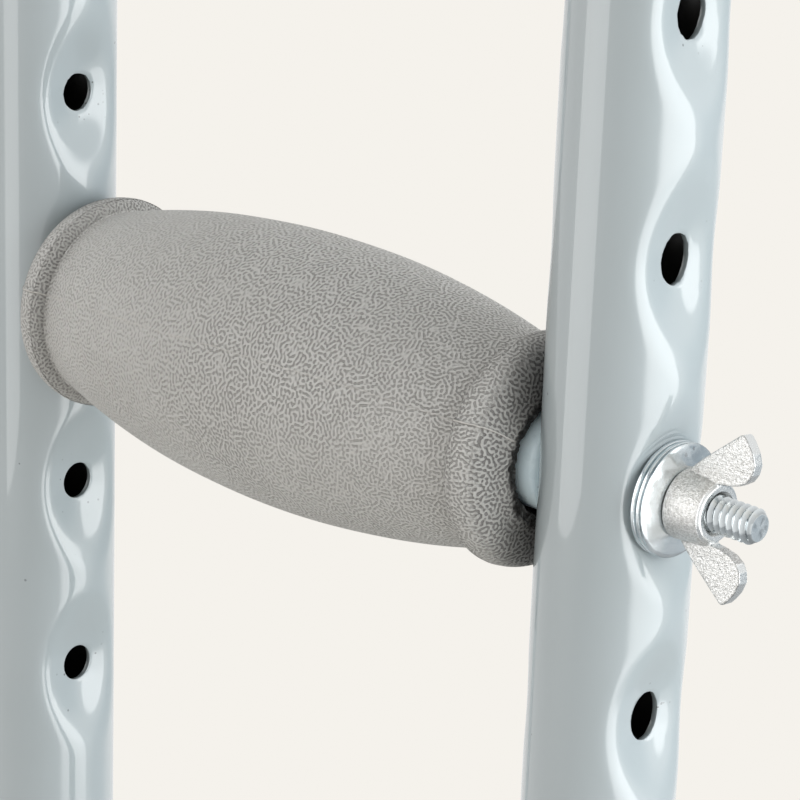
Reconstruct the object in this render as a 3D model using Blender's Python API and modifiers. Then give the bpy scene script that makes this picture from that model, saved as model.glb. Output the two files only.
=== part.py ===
"""A pair of underarm crutches in painted steel tube, each with a bolted hand grip and a push-button leg.

Each crutch stands upright in a plane of X and Z, with its tip on the floor at Z = 0. Two bows run side by
side from the underarm saddle, close in on a centre tube near the bottom and are riveted to it. The leg
slides in the centre tube and is held by a snap button. The bows are pressed flat in a wave around each
bolt hole, so that the washers and the ends of the grip's core seat in the hollows.
"""

import math

import bmesh
import bpy
from mathutils import Matrix

# The pair: two equal crutches side by side.
PAIR_SPACING = 0.280
CRUTCHES = (("right", 0.5), ("left", -0.5))  # name, and place as a share of the spacing

# Steel tubes.
TUBE_D = 0.0254
TUBE_WALL = 0.0014
LEG_WALL = 0.0013
LEG_CLEARANCE = 0.00025
TUBE_SIDES = 16

# Gaps: between pieces that touch, and between the parts of the clamped stack on the bolt.
FIT_GAP = 0.0003
STACK_GAP = 0.0001

# Rubber tip and its steel disc.
TIP_FOOT_D = 0.044
TIP_FOOT_HEIGHT = 0.010
TIP_NECK_D = 0.0345
TIP_TOP_D = 0.0285
TIP_HEIGHT = 0.055
TIP_FLOOR = 0.011
TIP_EDGE = 0.0015  # softness of the foot's and the collar's edges
TIP_SHOULDER = 0.004  # height of the slope from the foot up to the neck
TIP_COLLAR = 0.012  # height of the neck
TREAD_DEPTH = 0.002
TREAD_OUTER_SHARES = (0.80, 0.76)  # radii of the tread groove's walls at the floor and at its depth, as
TREAD_INNER_SHARES = (0.58, 0.62)  # shares of the foot's
DISC_THICKNESS = 0.0015

# Leg, its snap button and the holes for it in the centre tube.
STEP = 0.0254
STEPS_EACH_WAY = 3
TIP_TO_CENTRE_TUBE = 0.044  # what is left between them when the leg is fully in
BUTTON_ABOVE_EDGE = 0.0666  # the button over the centre tube's lower edge when the leg is fully out
LEG_ABOVE_BUTTON = 0.027
BUTTON_D = 0.0070
BUTTON_HOLE_D = 0.0080
BUTTON_PROUD = 0.0022
BUTTON_BASE_D = 0.0090
BUTTON_BASE_THICKNESS = 0.0010
BUTTON_DOME_SHARES = ((0, 0), (0.55, 0.12), (0.88, 0.40), (1.0, 0.75))  # across, and down from the top
BUTTON_SIDES = 12
SPRING_STRIP = 0.0008
SPRING_WIDTH = 0.0075
SPRING_DROP = 0.040
SPRING_RISE = 0.005

# Rivets through the bows and the centre tube.
RIVET_D = 0.0060
RIVET_HEAD_D = 0.0110
RIVET_HEAD_RISE = 0.0030
RIVET_HEAD_SHARES = ((0, 1.0), (0.70, 0.62), (1.0, 0.0))  # across, and up from the underside
RIVET_ABOVE_LEG = 0.049  # the lower rivet over the leg's top when the leg is fully in
RIVET_SPACING = 0.080
RIVET_TO_END = 0.025

# Bows: the spread from the centre tube out to the grip, and the row of pressed holes.
BOW_SPACING = 0.1427
SPREAD_HEIGHT = 0.150
SPREAD_TO_HOLES = 0.0388
SPREAD_RINGS = 6
HOLE_PITCH = 0.0381
HOLE_D = 0.0071
HOLE_SIDES = 10
HOLES_BELOW_GRIP = 2
HOLES_ABOVE_GRIP = 2
PRESS_DEPTH = 0.0045
RINGS_PER_PITCH = 4

# Plugs in the open tube ends.
PLUG_HEAD = 0.0030
PLUG_SPIGOT = 0.012
PLUG_BEVEL = 0.0012
PLUG_SIDES = 12

# Hand grip.
CORE_D = 0.0180
CORE_BORE_D = 0.0072
CORE_NOSE_D = 0.0105
CORE_NOSE = 0.0022  # how far the core's rounded nose reaches past its full diameter
CORE_NOSE_SHARES = (0.667, 0.3)  # its middle ring: across between nose and core, and back from the end
GRIP_MIDDLE_D = 0.0486
GRIP_SHOULDER_D = 0.0386
GRIP_CREASE_D = 0.0370
GRIP_FLANGE_D = 0.0398
GRIP_END_D = 0.0300
GRIP_MOUTH_D = 0.0204
GRIP_BORE_D = 0.0188
GRIP_FLANGE = 0.0118  # length of the flange, from the crease to the end
GRIP_BEAD = 0.0054  # distance of the flange's widest ring from the end
GRIP_BEAD_HALF = 0.0026  # from that ring to where the flange starts to curve in
GRIP_CREASE = 0.0012  # width and softness of the crease
GRIP_MOUTH_INSET = 0.0040  # how far in from the end the bore starts
GRIP_RING_SHARES = (1.0, 0.72, 0.42, 0.14)  # the body's rings, as shares of the way to the crease
GRIP_SIDES = 20

# Grip bolt, washers and wing nut.
BOLT_D = 0.0060
BOLT_HEAD_D = 0.0150
BOLT_HEAD_RISE = 0.0042
BOLT_HEAD_SHARES = ((1.0, 0.0), (1.0, 0.25), (0.82, 0.72), (0.45, 0.94), (0, 1.0))  # across, and out
BOLT_PAST_NUT = 0.0080
BOLT_CHAMFER = 0.0007
WASHER_D = 0.0186
WASHER_BORE_D = 0.0072
WASHER_THICKNESS = 0.00095
WASHERS = ("inner", "middle", "outer")
NUT_HEIGHT = 0.0068
NUT_BASE_D = 0.0116
NUT_TOP_D = 0.0102
NUT_BORE_D = 0.0064
NUT_TURN = math.radians(5)  # how far the wings are turned from upright
WING_THICKNESS = 0.0022
WING_LOBE_R = 0.0040
WING_LOBE_OUT = 0.0104  # centre of the wing's round end from the bolt's axis
WING_LOBE_UP = 0.0097  # and from the nut's seat
WING_LOBE_FROM = -50  # degrees at which the lobe's round edge starts
WING_LOBE_SWEEP = 200
WING_LOBE_POINTS = 8
WING_ROOT = 0.0010  # how far the wing's foot lies inside the hub's wall
WING_STEP = 0.0006
SMALL_SIDES = 16
PIN_SIDES = 10

# Underarm saddle, its pins and its pad.
GRIP_TO_SADDLE = 0.355
BAR_OVER_TUBE = 0.0026  # the bar's diameter over a bow's
SADDLE_PAST_BOW = 0.02265  # from a bow's axis to the bar's end
SADDLE_RISE = 0.012  # how far the bar's ends stand over its middle
SOCKET_WALL = 0.0035
SOCKET_DROP = 0.040
BOW_TOP_DROP = 0.008
PIN_D = 0.0050
PIN_HEAD_D = 0.0090
PIN_HEAD_RISE = 0.0022
PIN_DROP = 0.030
PAD_D = 0.044
PAD_PAST_SADDLE = 0.014
PAD_ROUND = 0.014
PAD_END_SHARES = ((0.4, 0.94), (0.8, 0.72), (1.0, 0.45))  # out over PAD_ROUND, and the diameter there
BAR_POINTS = 7

# Heights above the floor, each built on the one before.
LEG_TRAVEL = STEP * STEPS_EACH_WAY
LEG_BOTTOM = TIP_FLOOR + DISC_THICKNESS + 2 * FIT_GAP
CENTRE_BOTTOM = TIP_HEIGHT + LEG_TRAVEL + TIP_TO_CENTRE_TUBE
BUTTON_HEIGHT = CENTRE_BOTTOM + LEG_TRAVEL + BUTTON_ABOVE_EDGE
LEG_TOP = BUTTON_HEIGHT + LEG_ABOVE_BUTTON
LOWER_RIVET = LEG_TOP + LEG_TRAVEL + RIVET_ABOVE_LEG
UPPER_RIVET = LOWER_RIVET + RIVET_SPACING
BOW_BOTTOM = LOWER_RIVET - RIVET_TO_END
CENTRE_TOP = UPPER_RIVET + RIVET_TO_END
SPREAD_START = CENTRE_TOP
SPREAD_END = SPREAD_START + SPREAD_HEIGHT
LOWEST_HOLE = SPREAD_END + SPREAD_TO_HOLES
GRIP_HEIGHT = LOWEST_HOLE + HOLES_BELOW_GRIP * HOLE_PITCH
SADDLE_HEIGHT = GRIP_HEIGHT + GRIP_TO_SADDLE
BOW_TOP = SADDLE_HEIGHT - BOW_TOP_DROP
PIN_HEIGHT = SADDLE_HEIGHT - PIN_DROP

# Sizes that follow from those above.
TUBE_R = TUBE_D / 2
TUBE_INNER_R = TUBE_R - TUBE_WALL
LEG_R = TUBE_INNER_R - LEG_CLEARANCE
LEG_INNER_R = LEG_R - LEG_WALL
BOW_X = BOW_SPACING / 2
BOW_LOW_X = TUBE_D + FIT_GAP
SADDLE_BAR_D = TUBE_D + BAR_OVER_TUBE
SOCKET_D = TUBE_D + 2 * (FIT_GAP + SOCKET_WALL)
SOCKET_TURN = (0.0, 0.0, math.pi / TUBE_SIDES)  # turns a socket's flats to the front, where the pins sit
SOCKET_FLAT = SOCKET_D / 2 * math.cos(math.pi / TUBE_SIDES)
SADDLE_HALF = BOW_X + SADDLE_PAST_BOW
PAD_HALF = SADDLE_HALF + PAD_PAST_SADDLE
BUTTON_BASE_BACK = (
    math.sqrt((LEG_INNER_R - FIT_GAP) ** 2 - (BUTTON_BASE_D / 2) ** 2) - BUTTON_BASE_THICKNESS
)
HOLE_HEIGHTS = [
    LOWEST_HOLE + i * HOLE_PITCH for i in range(HOLES_BELOW_GRIP + 1 + HOLES_ABOVE_GRIP)
]
LONG = 3 * TUBE_D  # longer than any wall that a drill goes through

ALONG_X = (0.0, math.pi / 2, 0.0)
TO_MINUS_X = (0.0, -math.pi / 2, 0.0)
TO_MINUS_Y = (math.pi / 2, 0.0, 0.0)


def press(rise):
    """How deep the tube is pressed in, a height of rise from the nearest bolt hole."""
    if abs(rise) >= HOLE_PITCH / 2:
        return 0.0
    return PRESS_DEPTH * (1 + math.cos(2 * math.pi * rise / HOLE_PITCH)) / 2


def pressed_face(height):
    """Distance from the bow's axis to its pressed face at this height."""
    return TUBE_R - max(press(height - hole) for hole in HOLE_HEIGHTS)


def seat_face(radius):
    """How far from the bow's axis a disc of this radius, centred on a bolt hole, touches the tube."""
    ring = HOLE_PITCH / RINGS_PER_PITCH
    below = math.floor(radius / ring)
    share = radius / ring - below
    return TUBE_R - (1 - share) * press(below * ring) - share * press((below + 1) * ring)


def bow_x(height):
    """Distance of the bow's axis from the centre tube's axis at this height."""
    share = min(max((height - SPREAD_START) / SPREAD_HEIGHT, 0.0), 1.0)
    return BOW_LOW_X + (BOW_X - BOW_LOW_X) * (1 - math.cos(math.pi * share)) / 2


def bow_slope(height):
    """Angle by which the bow leans outwards at this height."""
    small = SPREAD_HEIGHT / 1000
    return math.atan2(bow_x(height + small) - bow_x(height - small), 2 * small)


def clear_scene():
    for old in list(bpy.data.objects):
        bpy.data.objects.remove(old, do_unlink=True)


def collection(name):
    made = bpy.data.collections.new(name)
    bpy.context.scene.collection.children.link(made)
    return made


def material(name, colour, roughness, metallic=0.0):
    made = bpy.data.materials.new(name)
    made.use_nodes = True
    shader = made.node_tree.nodes["Principled BSDF"]
    shader.inputs["Base Color"].default_value = (*colour, 1.0)
    shader.inputs["Roughness"].default_value = roughness
    shader.inputs["Metallic"].default_value = metallic
    made.diffuse_color = (*colour, 1.0)
    return made


def empty(name, parent, location=(0, 0, 0)):
    """A frame that pieces hang from."""
    made = bpy.data.objects.new(name, None)
    PARTS.objects.link(made)
    made.parent = parent
    made.location = location
    return made


def place(name, mesh, finish, parent, location=(0, 0, 0), rotation=(0, 0, 0)):
    """A named piece in the parts collection, placed in its parent's frame."""
    obj = bpy.data.objects.new(name, mesh)
    PARTS.objects.link(obj)
    obj.parent = parent
    obj.location = location
    obj.rotation_euler = rotation
    mesh.materials.append(finish)
    return obj


def helper(name, mesh, parent, location=(0, 0, 0), rotation=(0, 0, 0)):
    """A hidden piece that only shapes others by a Boolean."""
    obj = bpy.data.objects.new(name, mesh)
    CUTTERS.objects.link(obj)
    obj.parent = parent
    obj.location = location
    obj.rotation_euler = rotation
    obj.hide_render = True
    obj.display_type = "WIRE"
    return obj


def boolean(obj, other, operation="DIFFERENCE"):
    modifier = obj.modifiers.new(f"{operation.title()} {other.name}", "BOOLEAN")
    modifier.object = other
    modifier.operation = operation


def turned(outline, name):
    """A mesh that holds a profile of (radius, height) points, which runs down its outer side.

    A profile that doesn't touch the axis is closed into a ring.
    """
    mesh = bpy.data.meshes.new(name)
    edges = [(i, i + 1) for i in range(len(outline) - 1)]
    if outline[0][0] > 0:
        edges.append((len(outline) - 1, 0))
    mesh.from_pydata([(radius, 0.0, height) for radius, height in outline], edges, [])
    return mesh


def lathe(obj, sides):
    """Turns the object's profile about its Z axis."""
    screw = obj.modifiers.new("Turn", "SCREW")
    screw.steps = sides
    screw.render_steps = sides
    screw.use_merge_vertices = True
    screw.merge_threshold = 0.00001
    return obj


def turned_part(name, outline, finish, parent, location=(0, 0, 0), rotation=(0, 0, 0), sides=SMALL_SIDES):
    obj = place(name, turned(outline, name), finish, parent, location, rotation)
    return lathe(obj, sides)


def ring_outline(outer, inner, low, high):
    """Profile of a plain ring or tube, by its radii and its two ends."""
    return [(outer, high), (outer, low), (inner, low), (inner, high)]


def drills(name, holes, parent):
    """One hidden cutter with a cylinder for each hole, given as (diameter, length, centre, axis)."""
    work = bmesh.new()
    for diameter, length, centre, axis in holes:
        made = bmesh.ops.create_cone(
            work, cap_ends=True, segments=HOLE_SIDES, radius1=diameter / 2, radius2=diameter / 2, depth=length
        )
        turn = Matrix.Rotation(math.pi / 2, 3, {"X": "Y", "Y": "X"}[axis])
        bmesh.ops.rotate(work, verts=made["verts"], cent=(0, 0, 0), matrix=turn)
        bmesh.ops.translate(work, verts=made["verts"], vec=centre)
    return helper(name, mesh_of(work, name), parent)


def mesh_of(work, name):
    mesh = bpy.data.meshes.new(name)
    work.to_mesh(mesh)
    work.free()
    return mesh


def curve_mesh(curve):
    """The mesh of a curve, with its caps welded to its sides and every face flat."""
    obj = bpy.data.objects.new(curve.name, curve)
    bpy.context.scene.collection.objects.link(obj)
    graph = bpy.context.evaluated_depsgraph_get()
    mesh = bpy.data.meshes.new_from_object(obj.evaluated_get(graph))
    bpy.data.objects.remove(obj)
    work = bmesh.new()
    work.from_mesh(mesh)
    bmesh.ops.remove_doubles(work, verts=work.verts, dist=0.000001)
    bmesh.ops.recalc_face_normals(work, faces=work.faces)
    bmesh.ops.triangulate(work, faces=work.faces)
    work.to_mesh(mesh)
    work.free()
    mesh.materials.clear()
    return mesh


def flat_shape(name, points, thickness):
    """A flat outline in X and Y with this thickness along Z, as a welded mesh."""
    curve = bpy.data.curves.new(name, "CURVE")
    curve.dimensions = "2D"
    curve.fill_mode = "BOTH"
    curve.extrude = thickness / 2
    spline = curve.splines.new("POLY")
    spline.points.add(len(points) - 1)
    for point, (x, y) in zip(spline.points, points):
        point.co = (x, y, 0.0, 1.0)
    spline.use_cyclic_u = True
    return curve_mesh(curve)


def bar_mesh(name, diameter, half, end_round=0.0):
    """A round bar that follows the saddle's curve, with its ends drawn in over end_round."""
    curve = bpy.data.curves.new(name, "CURVE")
    curve.dimensions = "3D"
    curve.bevel_depth = diameter / 2
    curve.bevel_resolution = 4
    curve.use_fill_caps = True
    inner = half - end_round
    places = [-inner + 2 * inner * i / (BAR_POINTS - 1) for i in range(BAR_POINTS)]
    widths = [1.0] * BAR_POINTS
    if end_round:
        for along, width in PAD_END_SHARES:
            places = [-inner - along * end_round, *places, inner + along * end_round]
            widths = [width, *widths, width]
    spline = curve.splines.new("POLY")
    spline.points.add(len(places) - 1)
    for point, x, width in zip(spline.points, places, widths):
        point.co = (x, 0.0, SADDLE_RISE * (x / SADDLE_HALF) ** 2, 1.0)
        point.radius = width
    return curve_mesh(curve)


clear_scene()
PARTS = collection("pair_of_underarm_crutches")
CUTTERS = collection("cutters")
CUTTERS.hide_render = True
PAINT = material("pale_blue_grey_paint", (0.42, 0.48, 0.51), 0.18)
FOAM = material("grey_moulded_foam", (0.36, 0.34, 0.31), 0.70)
CORE = material("blue_grey_plastic", (0.30, 0.43, 0.54), 0.35)
ZINC = material("zinc_plated_steel", (0.74, 0.77, 0.79), 0.25, metallic=1.0)
CAST = material("cast_zinc", (0.70, 0.69, 0.66), 0.45, metallic=1.0)
SPRING = material("spring_steel", (0.45, 0.46, 0.48), 0.30, metallic=1.0)
MOULDED = material("grey_moulded_plastic", (0.20, 0.21, 0.22), 0.50)
PLUG = material("dark_plug_plastic", (0.05, 0.05, 0.055), 0.50)
PAD_RUBBER = material("grey_pad_rubber", (0.34, 0.32, 0.30), 0.75)
TIP_RUBBER = material("grey_tip_rubber", (0.22, 0.21, 0.20), 0.70)


def bow(crutch, origin, side, word):
    """One bow: an open tube surface cut into rings, pressed at the holes and bent, then given its wall."""
    work = bmesh.new()
    length = BOW_TOP - BOW_BOTTOM
    bmesh.ops.create_cone(
        work, cap_ends=False, segments=TUBE_SIDES, radius1=TUBE_R, radius2=TUBE_R, depth=length
    )
    bmesh.ops.translate(work, verts=work.verts, vec=(0, 0, BOW_BOTTOM + length / 2))
    ring = HOLE_PITCH / RINGS_PER_PITCH
    rings_up = len(HOLE_HEIGHTS) * RINGS_PER_PITCH
    heights = [LOWEST_HOLE - HOLE_PITCH / 2 + i * ring for i in range(rings_up + 1)]
    heights += [SPREAD_START + SPREAD_HEIGHT * i / SPREAD_RINGS for i in range(SPREAD_RINGS + 1)]
    for height in heights:
        everything = work.verts[:] + work.edges[:] + work.faces[:]
        bmesh.ops.bisect_plane(work, geom=everything, plane_co=(0, 0, height), plane_no=(0, 0, 1))
    for vert in work.verts:
        x, _, height = vert.co
        x = math.copysign(min(abs(x), pressed_face(height)), x)
        lean = bow_slope(height)
        vert.co.x = side * bow_x(height) + x * math.cos(lean)
        vert.co.z = height - side * x * math.sin(lean)
    bmesh.ops.recalc_face_normals(work, faces=work.faces)
    name = f"{crutch}_bow_{word}"
    obj = place(name, mesh_of(work, name), PAINT, origin)
    obj.data.shade_smooth()
    wall = obj.modifiers.new("Wall", "SOLIDIFY")
    wall.thickness = TUBE_WALL
    wall.offset = -1
    wall.use_even_offset = True
    holes = [(HOLE_D, LONG, (side * BOW_X, 0, height), "X") for height in HOLE_HEIGHTS]
    for height in (LOWER_RIVET, UPPER_RIVET):
        holes.append((RIVET_D + 2 * FIT_GAP, LONG, (side * BOW_LOW_X, 0, height), "X"))
    holes.append((PIN_D + 2 * FIT_GAP, LONG, (side * BOW_X, 0, PIN_HEIGHT), "Y"))
    boolean(obj, drills(f"{name}_drills", holes, origin))


def plug(name, origin, x, height, up):
    """A push-in plug for a tube end; its head lies above the end if up is true, and below it otherwise."""
    spigot = TUBE_INNER_R - FIT_GAP
    outline = [
        (0, PLUG_HEAD),
        (TUBE_R - PLUG_BEVEL, PLUG_HEAD),
        (TUBE_R, PLUG_HEAD - PLUG_BEVEL),
        (TUBE_R, FIT_GAP),
        (spigot, FIT_GAP),
        (spigot, -PLUG_SPIGOT),
        (0, -PLUG_SPIGOT),
    ]
    rotation = (0, 0, 0) if up else (math.pi, 0, 0)
    turned_part(name, outline, PLUG, origin, (x, 0, height), rotation, sides=PLUG_SIDES)


def rivet(name, origin, centre, rotation, half_grip, diameter, head_d, head_rise):
    """A rivet with a domed head at each end; half_grip is from its middle to the underside of a head."""
    upper = [(head_d / 2 * across, half_grip + head_rise * up) for across, up in RIVET_HEAD_SHARES]
    lower = [(radius, -height) for radius, height in reversed(upper)]
    shank = [(diameter / 2, half_grip), (diameter / 2, -half_grip)]
    turned_part(name, upper + shank + lower, ZINC, origin, centre, rotation, sides=PIN_SIDES)


def frame_tubes(crutch, origin):
    for side, word in ((1, "nut_side"), (-1, "head_side")):
        bow(crutch, origin, side, word)
        plug(f"{crutch}_bow_plug_{word}", origin, side * BOW_LOW_X, BOW_BOTTOM, up=False)
    outline = ring_outline(TUBE_R, TUBE_INNER_R, CENTRE_BOTTOM, CENTRE_TOP)
    centre = turned_part(f"{crutch}_centre_tube", outline, PAINT, origin, sides=TUBE_SIDES)
    holes = [
        (RIVET_D + 2 * FIT_GAP, LONG, (0, 0, height), "X") for height in (LOWER_RIVET, UPPER_RIVET)
    ]
    for step in range(-STEPS_EACH_WAY, STEPS_EACH_WAY + 1):
        height = BUTTON_HEIGHT + step * STEP
        holes.append((BUTTON_HOLE_D, LONG / 2, (0, -LONG / 4, height), "Y"))
    boolean(centre, drills(f"{crutch}_centre_drills", holes, origin))
    plug(f"{crutch}_centre_plug", origin, 0, CENTRE_TOP, up=True)
    half_grip = BOW_LOW_X + TUBE_R + FIT_GAP
    for word, height in (("lower", LOWER_RIVET), ("upper", UPPER_RIVET)):
        rivet(
            f"{crutch}_frame_rivet_{word}", origin, (0, 0, height), ALONG_X,
            half_grip, RIVET_D, RIVET_HEAD_D, RIVET_HEAD_RISE,
        )


def saddle(crutch, origin):
    """The moulded bar under the arm, with a socket for each bow, its two pins and the pad over it."""
    location = (0, 0, SADDLE_HEIGHT)
    bar = bar_mesh("saddle_bar", SADDLE_BAR_D, SADDLE_HALF)
    bar = place(f"{crutch}_underarm_saddle", bar, MOULDED, origin, location)
    pad = bar_mesh("pad", PAD_D, PAD_HALF, PAD_ROUND)
    pad = place(f"{crutch}_underarm_pad", pad, PAD_RUBBER, origin, location)
    room = bar_mesh("pad_room", SADDLE_BAR_D + 2 * FIT_GAP, SADDLE_HALF + FIT_GAP)
    boolean(pad, helper(f"{crutch}_pad_room", room, origin, location))
    bore_top = BOW_TOP + FIT_GAP
    for side, word in ((1, "nut_side"), (-1, "head_side")):
        at = (side * BOW_X, 0, SADDLE_HEIGHT)
        solid = [(0, 0), (SOCKET_D / 2, 0), (SOCKET_D / 2, -SOCKET_DROP), (0, -SOCKET_DROP)]
        socket = helper(f"{crutch}_socket_{word}", turned(solid, "socket"), origin, at, SOCKET_TURN)
        boolean(bar, lathe(socket, TUBE_SIDES), "UNION")
        wider = SOCKET_D / 2 + FIT_GAP
        room = [(0, FIT_GAP), (wider, FIT_GAP), (wider, -SOCKET_DROP), (0, -SOCKET_DROP)]
        room = helper(f"{crutch}_socket_room_{word}", turned(room, "socket_room"), origin, at, SOCKET_TURN)
        boolean(pad, lathe(room, TUBE_SIDES))
    for side, word in ((1, "nut_side"), (-1, "head_side")):
        width = TUBE_R + FIT_GAP
        bore = [(0, bore_top), (width, bore_top), (width, bore_top - LONG), (0, bore_top - LONG)]
        at = (side * BOW_X, 0, 0)
        bore = helper(f"{crutch}_bore_{word}", turned(bore, "bore"), origin, at, SOCKET_TURN)
        boolean(bar, lathe(bore, TUBE_SIDES))
        rivet(
            f"{crutch}_saddle_pin_{word}", origin, (side * BOW_X, 0, PIN_HEIGHT), TO_MINUS_Y,
            SOCKET_FLAT + FIT_GAP, PIN_D, PIN_HEAD_D, PIN_HEAD_RISE,
        )
    pin_holes = [
        (PIN_D + 2 * FIT_GAP, LONG, (side * BOW_X, 0, PIN_HEIGHT), "Y") for side in (1, -1)
    ]
    boolean(bar, drills(f"{crutch}_saddle_drills", pin_holes, origin))


def grip_outline():
    """Profile of the foam grip from its right end down its outer side and back through its bore."""
    half = BOW_X - TUBE_R - FIT_GAP
    crease = half - GRIP_FLANGE
    shoulder = crease - GRIP_CREASE
    middle = GRIP_MIDDLE_D / 2
    fall = middle - GRIP_SHOULDER_D / 2
    bead = GRIP_FLANGE_D / 2
    flange = [
        (GRIP_MOUTH_D / 2, half - GRIP_CREASE / 2),
        (GRIP_END_D / 2, half),
        (bead - GRIP_CREASE, half - GRIP_BEAD + GRIP_BEAD_HALF),
        (bead, half - GRIP_BEAD),
        (bead - GRIP_CREASE / 2, half - GRIP_BEAD - GRIP_BEAD_HALF),
        (GRIP_CREASE_D / 2, crease),
    ]
    body = [(middle - fall * share**2, shoulder * share) for share in GRIP_RING_SHARES]
    right = flange + body
    left = [(radius, -height) for radius, height in reversed(right)]
    inset = half - GRIP_MOUTH_INSET
    bore = [(GRIP_BORE_D / 2, -inset), (GRIP_BORE_D / 2, inset)]
    return right + left + bore


def grip(crutch, origin):
    """The foam grip on its core, clamped between the bows by a long bolt through both of them."""
    at = (0, 0, GRIP_HEIGHT)
    turned_part(f"{crutch}_grip_foam", grip_outline(), FOAM, origin, at, ALONG_X, sides=GRIP_SIDES)
    nose = BOW_X - seat_face(CORE_NOSE_D / 2) - FIT_GAP
    across, back = CORE_NOSE_SHARES
    full = min(nose - CORE_NOSE, BOW_X - seat_face(CORE_D / 2) - FIT_GAP)
    right = [
        (CORE_BORE_D / 2, nose),
        (CORE_NOSE_D / 2, nose),
        ((CORE_NOSE_D + across * (CORE_D - CORE_NOSE_D)) / 2, nose - back * CORE_NOSE),
        (CORE_D / 2, full),
    ]
    outline = right + [(radius, -height) for radius, height in reversed(right)]
    turned_part(f"{crutch}_grip_core", outline, CORE, origin, at, ALONG_X, sides=TUBE_SIDES)


def clamp_hardware(crutch, origin):
    """Bolt and washers on the outer faces of the bows, and the wing nut."""
    seat = BOW_X + seat_face(WASHER_D / 2) + STACK_GAP
    ring = ring_outline(WASHER_D / 2, WASHER_BORE_D / 2, 0, WASHER_THICKNESS)
    under_head = seat + WASHER_THICKNESS + STACK_GAP
    at = (-seat, 0, GRIP_HEIGHT)
    turned_part(f"{crutch}_head_washer", ring, ZINC, origin, at, TO_MINUS_X)
    stack = seat
    for word in WASHERS:
        turned_part(f"{crutch}_washer_{word}", ring, ZINC, origin, (stack, 0, GRIP_HEIGHT), ALONG_X)
        stack += WASHER_THICKNESS + STACK_GAP
    end = stack + NUT_HEIGHT + BOLT_PAST_NUT
    head = BOLT_HEAD_D / 2
    outline = [
        (0, end),
        (BOLT_D / 2 - BOLT_CHAMFER, end),
        (BOLT_D / 2, end - BOLT_CHAMFER),
        (BOLT_D / 2, -under_head),
    ]
    outline += [(head * across, -under_head - BOLT_HEAD_RISE * out) for across, out in BOLT_HEAD_SHARES]
    turned_part(f"{crutch}_grip_bolt", outline, ZINC, origin, (0, 0, GRIP_HEIGHT), ALONG_X)
    wing_nut(crutch, origin, stack)


def wing_points():
    """Outline of one wing in (outwards, along the bolt), from the hub round its lobe and back."""
    root = NUT_BORE_D / 2 + WING_ROOT
    arc = []
    for i in range(WING_LOBE_POINTS):
        angle = math.radians(WING_LOBE_FROM + WING_LOBE_SWEEP * i / (WING_LOBE_POINTS - 1))
        out = WING_LOBE_OUT + WING_LOBE_R * math.cos(angle)
        arc.append((out, WING_LOBE_UP + WING_LOBE_R * math.sin(angle)))
    neck = (NUT_TOP_D / 2 + WING_STEP, NUT_HEIGHT + WING_STEP)
    return [(root, WING_STEP), *arc, neck, (root, NUT_HEIGHT - WING_STEP)]


def wing_nut(crutch, origin, seat):
    """A cast nut with its origin on the bolt's axis at its seat; its own Z runs along the bolt."""
    hub = ring_outline(NUT_BASE_D / 2, NUT_BORE_D / 2, 0, NUT_HEIGHT)
    hub[0] = (NUT_TOP_D / 2, NUT_HEIGHT)
    at = (seat, 0, GRIP_HEIGHT)
    nut = turned_part(f"{crutch}_wing_nut", hub, CAST, origin, at, ALONG_X)
    shape = flat_shape("wing", wing_points(), WING_THICKNESS)
    for side in (0, 1):
        # The outline's X goes out from the bolt and its Y along it.
        turn = (math.pi / 2, 0, math.pi * side - NUT_TURN)
        wing = helper(f"{crutch}_wing_{side}", shape, nut, rotation=turn)
        boolean(nut, wing, "UNION")


def spring_points():
    """Outline of the V spring behind the button, in (across the leg, up)."""
    front = -BUTTON_BASE_BACK + FIT_GAP
    back = math.sqrt((LEG_INNER_R - FIT_GAP) ** 2 - (SPRING_WIDTH / 2) ** 2)
    thick = SPRING_STRIP
    return [
        (front, SPRING_RISE),
        (front, -SPRING_RISE),
        (-thick, -SPRING_DROP),
        (thick, -SPRING_DROP),
        (back, -SPRING_RISE),
        (back, SPRING_RISE),
        (back - thick, SPRING_RISE),
        (back - thick, -SPRING_RISE),
        (0, -SPRING_DROP + 3 * thick),
        (front + thick, -SPRING_RISE),
        (front + thick, SPRING_RISE),
    ]


def leg(crutch, origin):
    """The sliding leg with its snap button, the button's spring, and the rubber tip on its steel disc."""
    origin = empty(f"{crutch}_leg_axis", origin)
    outline = ring_outline(LEG_R, LEG_INNER_R, LEG_BOTTOM, LEG_TOP)
    tube = turned_part(f"{crutch}_leg_tube", outline, PAINT, origin, sides=TUBE_SIDES)
    hole = (BUTTON_D + 2 * FIT_GAP, LONG / 2, (0, -LONG / 4, BUTTON_HEIGHT), "Y")
    boolean(tube, drills(f"{crutch}_leg_drill", [hole], origin))
    tip = TUBE_R + BUTTON_PROUD
    stem = BUTTON_D / 2
    base = BUTTON_BASE_BACK + BUTTON_BASE_THICKNESS
    outline = [(stem * across, tip - stem * down) for across, down in BUTTON_DOME_SHARES]
    outline += [
        (stem, base),
        (BUTTON_BASE_D / 2, base),
        (BUTTON_BASE_D / 2, BUTTON_BASE_BACK),
        (0, BUTTON_BASE_BACK),
    ]
    at = (0, 0, BUTTON_HEIGHT)
    turned_part(f"{crutch}_snap_button", outline, ZINC, origin, at, TO_MINUS_Y, sides=BUTTON_SIDES)
    shape = flat_shape("spring", spring_points(), SPRING_WIDTH)
    # The outline's X goes to the crutch's Y, its Y to Z and its thickness to X.
    place(f"{crutch}_button_spring", shape, SPRING, origin, at, (math.pi / 2, 0, math.pi / 2))
    rubber_tip(crutch, origin)


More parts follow.
